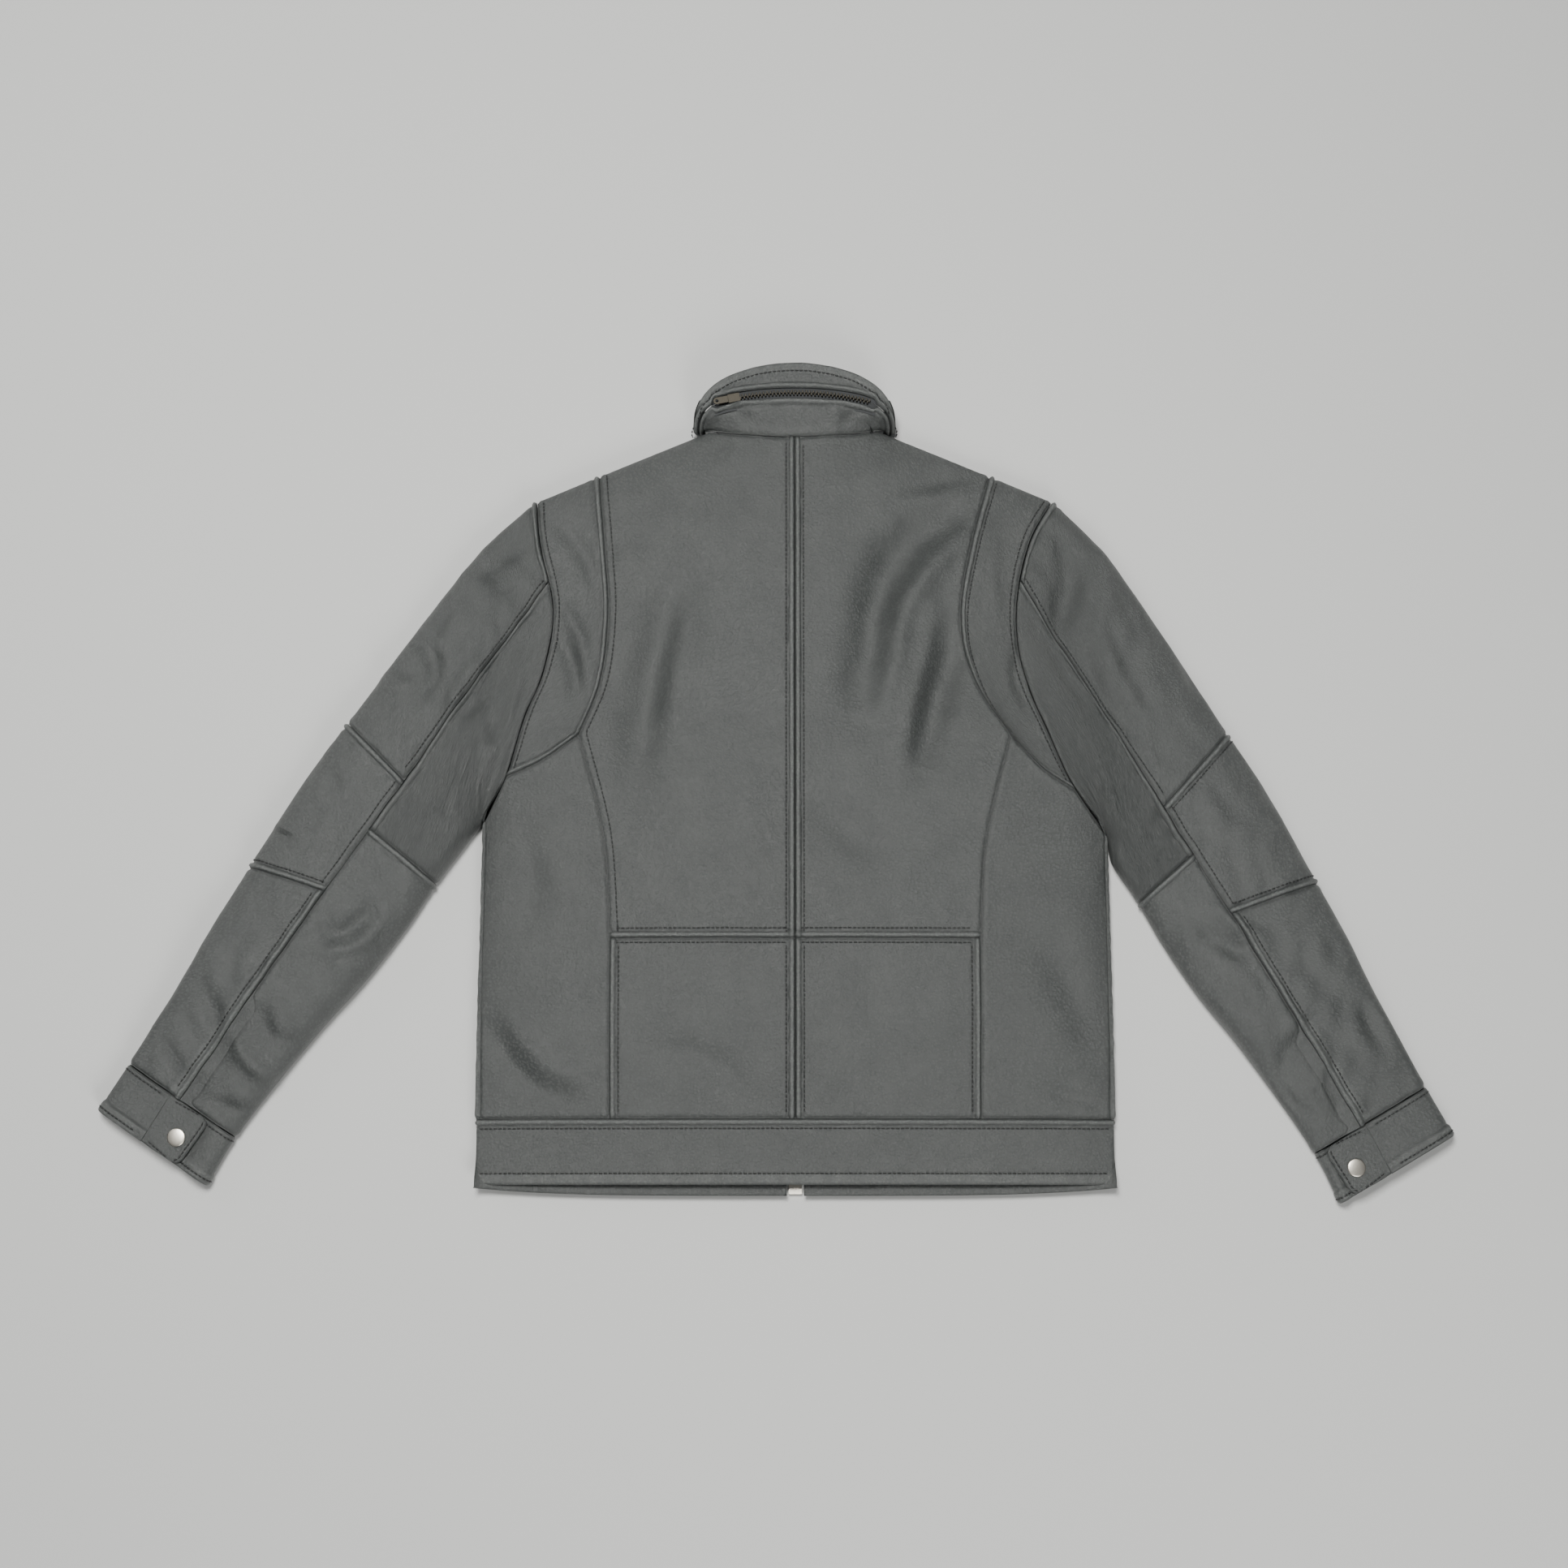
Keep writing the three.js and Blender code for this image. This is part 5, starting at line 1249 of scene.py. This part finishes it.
class JACKET_OT_collar_zip(bpy.types.Operator):
    """Collar zip: two tapes behind the leather edges and the interlocked teeth along the arc."""
    bl_idname = "jacket.collar_zip"
    bl_label = "Collar zip"

    def execute(self, context):
        centre_y, radius, half = zip_arc()
        count = int(2 * half * radius / TOOTH_PITCH)
        angle = np.linspace(-half, half, count)
        run = np.stack([np.cos(angle), -np.sin(angle), 0 * angle], axis=-1)
        out = np.stack([np.sin(angle), np.cos(angle), 0 * angle], axis=-1)
        up = np.zeros_like(out) + np.array([0, 0, 1.0])
        centres = np.array([0, centre_y, COLLAR_TOP - 1.5]) + radius * out
        teeth_row("collar_teeth", centres, run, out, up, ["collar_zip_teeth"])
        for label, low, high in (("lower", -TAPE_WIDTH, -0.2), ("upper", 0.2, TAPE_WIDTH)):
            t = np.linspace(-1.12, 1.12, 90) * half
            r = radius + np.linspace(low, high, 8)
            angle, reach = np.meshgrid(t, r)
            x = reach * np.sin(angle)
            share = x / lerp(NECK_HALF, COLLAR_HALF, COLLAR_ZIP_AT)
            z = EDGE_HEIGHT + (COLLAR_TOP - EDGE_HEIGHT) * crown(share, 12, 2.5) - LEATHER - 0.8
            grid = np.stack([x, centre_y + reach * np.cos(angle), z], axis=-1)
            under = grid - np.array([0, 0, 0.7])
            obj = closed_sheet(f"collar_tape_{label}", grid, under, 5)
            skin(obj, "tape", [f"collar_zip_tape_{label}"])
            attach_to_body(obj, "body")
            size, area = flat_size(grid)
        return {"FINISHED"}


class JACKET_OT_front_zip(bpy.types.Operator):
    """Front zip on the floor side: two tapes and the teeth between the front edges."""
    bl_idname = "jacket.front_zip"
    bl_label = "Front zip"

    def execute(self, context):
        low, high = off_frame(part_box("front_zip_teeth"))
        y = np.arange(low[1] + 1, high[1] - 1, TOOTH_PITCH)
        one = np.ones_like(y)
        centres = np.stack([0 * y, y, high[2] * one], axis=-1)
        run = np.stack([0 * y, one, 0 * y], axis=-1)
        side_way = np.stack([one, 0 * y, 0 * y], axis=-1)
        teeth_row("front_teeth", centres, run, side_way, np.stack([0 * y, 0 * y, -one], axis=-1),
                  ["front_zip_teeth"])
        for name in SIDES:
            node = f"front_zip_tape_{name}"
            a, b = off_frame(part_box(node))
            x, y = np.meshgrid(np.linspace(a[0], b[0], 7), np.linspace(a[1], b[1], 120))
            top = np.stack([x, y, b[2] + 0 * x], axis=-1)
            obj = closed_sheet(f"front_tape_{name}", top, top - np.array([0, 0, b[2] - a[2]]), 6)
            skin(obj, "tape", [node])
            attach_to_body(obj, "body")
        return {"FINISHED"}


# ---------------------------------------------------------------- snaps, stitching and small metal

class JACKET_OT_snaps(bpy.types.Operator):
    """Snap caps: turned discs with a rolled rim and a slightly domed top."""
    bl_idname = "jacket.snaps"
    bl_label = "Snap caps"

    def execute(self, context):
        for name in SIDES:
            low, high = off_frame(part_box(f"snap_cap_{name}"))
            centre = 0.5 * (low + high)
            r = 0.5 * (high[0] - low[0])
            height = high[2] - low[2]
            ring = np.array([(r - 0.6, 0), (r - 0.1, 0.25), (r, 0.7), (r - 0.15, 1.1), (r - 0.6, 1.4),
                             (r - 1.1, 1.5), (0.7 * r, 1.72), (0.35 * r, 1.92)])
            ring[:, 1] += CAP_RAISE
            angle = np.linspace(0, 2 * np.pi, 64, endpoint=False)
            verts = np.stack([ring[:, None, 0] * np.cos(angle), ring[:, None, 0] * np.sin(angle),
                              ring[:, None, 1] + 0 * angle], axis=-1).reshape(-1, 3)
            verts = np.vstack([verts, [0, 0, CAP_RAISE], [0, 0, height + CAP_RAISE]])
            verts = verts + np.array([centre[0], centre[1], low[2]])
            i = np.arange(len(ring) * 64).reshape(len(ring), 64)
            nxt = np.roll(i, -1, axis=1)
            sides = np.stack([i[:-1], nxt[:-1], nxt[1:], i[1:]], axis=-1).reshape(-1, 4)
            foot, head = len(verts) - 2, len(verts) - 1
            fans = [(int(b), int(a), foot) for a, b in zip(i[0], nxt[0])]
            fans += [(int(a), int(b), head) for a, b in zip(i[-1], nxt[-1])]
            obj = new_object(f"cap_{name}", verts, sides.tolist() + fans, sharp=60)
            skin(obj, "nickel", [f"snap_cap_{name}"])
            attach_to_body(obj, f"tab_{name}")
        return {"FINISHED"}


class JACKET_OT_stitching(bpy.types.Operator):
    """Topstitching: one bowed thread for each stitch, along every sewn line that the panels collected."""
    bl_idname = "jacket.stitching"
    bl_label = "Topstitching"

    def execute(self, context):
        look = context.scene.jacket_look
        pitch = look.stitch_mm
        x = np.array([-0.5, -0.36, 0, 0.36, 0.5]) * (pitch - 0.9)
        radius = np.array([0.2, 0.55, 0.64, 0.55, 0.2])
        bow = np.array([-0.25, 0.02, 0.16, 0.02, -0.25])
        angle = np.linspace(0, 2 * np.pi, 5, endpoint=False)
        verts = np.stack([x[:, None] + 0 * angle, radius[:, None] * np.cos(angle),
                          bow[:, None] + radius[:, None] * np.sin(angle)], axis=-1).reshape(-1, 3)
        verts = np.vstack([verts, [x[0], 0, bow[0]], [x[-1], 0, bow[-1]]])
        i = np.arange(25).reshape(5, 5)
        nxt = np.roll(i, -1, axis=1)
        sides = np.stack([i[:-1], i[1:], nxt[1:], nxt[:-1]], axis=-1).reshape(-1, 4)
        ends = np.array([(a, b, 25, 25) for a, b in zip(i[0], nxt[0])]
                        + [(b, a, 26, 26) for a, b in zip(i[-1], nxt[-1])])
        for key, lines in STITCHES.items():
            parts = []
            for points, normals in lines:
                run = lengths(points)
                count = int(run[-1] / pitch)
                if count < 2:
                    continue
                at = (np.arange(count) + 0.5) * pitch
                way = at_run(run, points, at + 0.5) - at_run(run, points, at - 0.5)
                way /= np.maximum(np.linalg.norm(way, axis=-1, keepdims=True), 1e-9)
                up = at_run(run, normals, at)
                up /= np.linalg.norm(up, axis=-1, keepdims=True)
                parts.append((at_run(run, points, at) + STITCH_RISE * up, way, np.cross(up, way), up))
            if not parts:
                continue
            place, way, side_way, up = [np.concatenate([p[k] for p in parts]) for k in range(4)]
            v, f = copies(verts, sides, place, way, side_way, up)
            _, caps = copies(verts, ends, place, way, side_way, up)
            obj = new_object(f"stitches_{key}", v, f.tolist() + caps[:, :3].tolist())
            skin(obj, "thread")
            kind, _, name = key.partition("_")
            if kind == "upper":
                attach(obj, None, upper_bend(name))
            elif kind == "lower":
                attach(obj, None, elbow_bend(name))
            elif kind == "tab":
                corner, out, _, _ = tab_frame(name)
                start, end = on_frame([corner, corner + TAB_BEND * out])
                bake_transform(obj)
            else:
                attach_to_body(obj, key)
        return {"FINISHED"}


class JACKET_OT_small_metal(bpy.types.Operator):
    """Finishes of the sliders, pulls, end box, snap sockets and studs, which keep their own solids."""
    bl_idname = "jacket.small_metal"
    bl_label = "Small metal parts"

    def execute(self, context):
        for name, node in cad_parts.items():
            if node.hide_render:
                continue
            finish = "nickel" if "snap" in name or "end_box" in name else "zip"
            node.data.materials.clear()
            node.data.materials.append(FINISHES[finish]())
        return {"FINISHED"}


class JACKET_OT_stage(bpy.types.Operator):
    """Pale floor, soft studio lights and the camera, nearly overhead from the hem side."""
    bl_idname = "jacket.stage"
    bl_label = "Stage"

    def execute(self, context):
        scene = context.scene
        side = np.linspace(-FLOOR_HALF, FLOOR_HALF, 9)
        x, y = np.meshgrid(side, side)
        i = np.arange(81).reshape(9, 9)
        faces = np.stack([i[:-1, :-1], i[:-1, 1:], i[1:, 1:], i[1:, :-1]], axis=-1).reshape(-1, 4)
        mesh = bpy.data.meshes.new("studio_floor")
        corners = np.stack([x, y, 0 * x - 0.3], axis=-1).reshape(-1, 3) / 1000
        mesh.from_pydata(corners.tolist(), [], faces.tolist())
        mesh.materials.append(FINISHES["floor"]())
        floor = bpy.data.objects.new("studio_floor", mesh)
        scene.collection.objects.link(floor)
        world = bpy.data.worlds.new("Studio")
        world.use_nodes = True
        world.node_tree.nodes["Background"].inputs["Color"].default_value = linear("#d9dcde")
        world.node_tree.nodes["Background"].inputs["Strength"].default_value = 0.16
        scene.world = world
        target = Vector(on_frame(AIM))
        for label, (spot, energy, size) in LIGHTS.items():
            lamp = bpy.data.lights.new(label, "AREA")
            lamp.energy, lamp.size, lamp.color = energy, size, linear("#fbfaf6")[:3]
            light = bpy.data.objects.new(label, lamp)
            light.location = spot
            light.rotation_euler = (target - Vector(spot)).to_track_quat("-Z", "Y").to_euler()
            scene.collection.objects.link(light)
        camera = bpy.data.objects.new("camera", bpy.data.cameras.new("camera"))
        camera.data.lens, camera.data.sensor_width = 50.0, 36.0
        camera.location = Vector(on_frame(CAMERA_SPOT))
        camera.rotation_euler = (target - camera.location).to_track_quat("-Z", "Y").to_euler()
        scene.collection.objects.link(camera)
        scene.camera = camera
        return {"FINISHED"}


# ---------------------------------------------------------------- settings and panel

class JacketLook(bpy.types.PropertyGroup):
    """Sizes and colours that a user would change."""
    dark: bpy.props.FloatVectorProperty(name="Dark tone", description="Darker tone of the leather", size=3,
                                        subtype="COLOR", min=0, max=1, default=linear("#424545")[:3])
    light: bpy.props.FloatVectorProperty(name="Light tone", description="Lighter tone of the leather", size=3,
                                         subtype="COLOR", min=0, max=1, default=linear("#535655")[:3])
    grain_mm: bpy.props.FloatProperty(name="Grain", default=2.6, min=0.5, max=5,
                                      description="Width of one pebble of the grain, in millimetres")
    stitch_mm: bpy.props.FloatProperty(name="Stitch", description="Length of one stitch, in millimetres",
                                       default=4.0, min=2, max=6)


STEPS = ("back", "front", "linings", "sleeves", "sleeve_linings", "cuffs", "collar", "collar_zip", "front_zip",
         "snaps", "stitching", "small_metal", "stage")


class JACKET_PT_panel(bpy.types.Panel):
    """Sidebar panel that lists the build steps."""
    bl_idname = "JACKET_PT_panel"
    bl_label = "Leather jacket"
    bl_space_type = "VIEW_3D"
    bl_region_type = "UI"
    bl_category = "Jacket"

    def draw(self, context):
        for name in ("dark", "light", "grain_mm", "stitch_mm"):
            self.layout.prop(context.scene.jacket_look, name)
        for step in STEPS:
            self.layout.operator(f"jacket.{step}")


CLASSES = (JacketLook, JACKET_OT_back, JACKET_OT_front, JACKET_OT_linings, JACKET_OT_sleeves,
           JACKET_OT_sleeve_linings, JACKET_OT_cuffs, JACKET_OT_collar, JACKET_OT_collar_zip, JACKET_OT_front_zip,
           JACKET_OT_snaps, JACKET_OT_stitching, JACKET_OT_small_metal, JACKET_OT_stage, JACKET_PT_panel)


def register():
    for item in CLASSES:
        bpy.utils.register_class(item)
    bpy.types.Scene.jacket_look = bpy.props.PointerProperty(type=JacketLook)


def unregister():
    del bpy.types.Scene.jacket_look
    for item in reversed(CLASSES):
        bpy.utils.unregister_class(item)


def main():
    """Registers the add-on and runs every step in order."""
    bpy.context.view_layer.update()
    register()
    for step in STEPS:
        getattr(bpy.ops.jacket, step)()


if __name__ == "__main__":
    main()
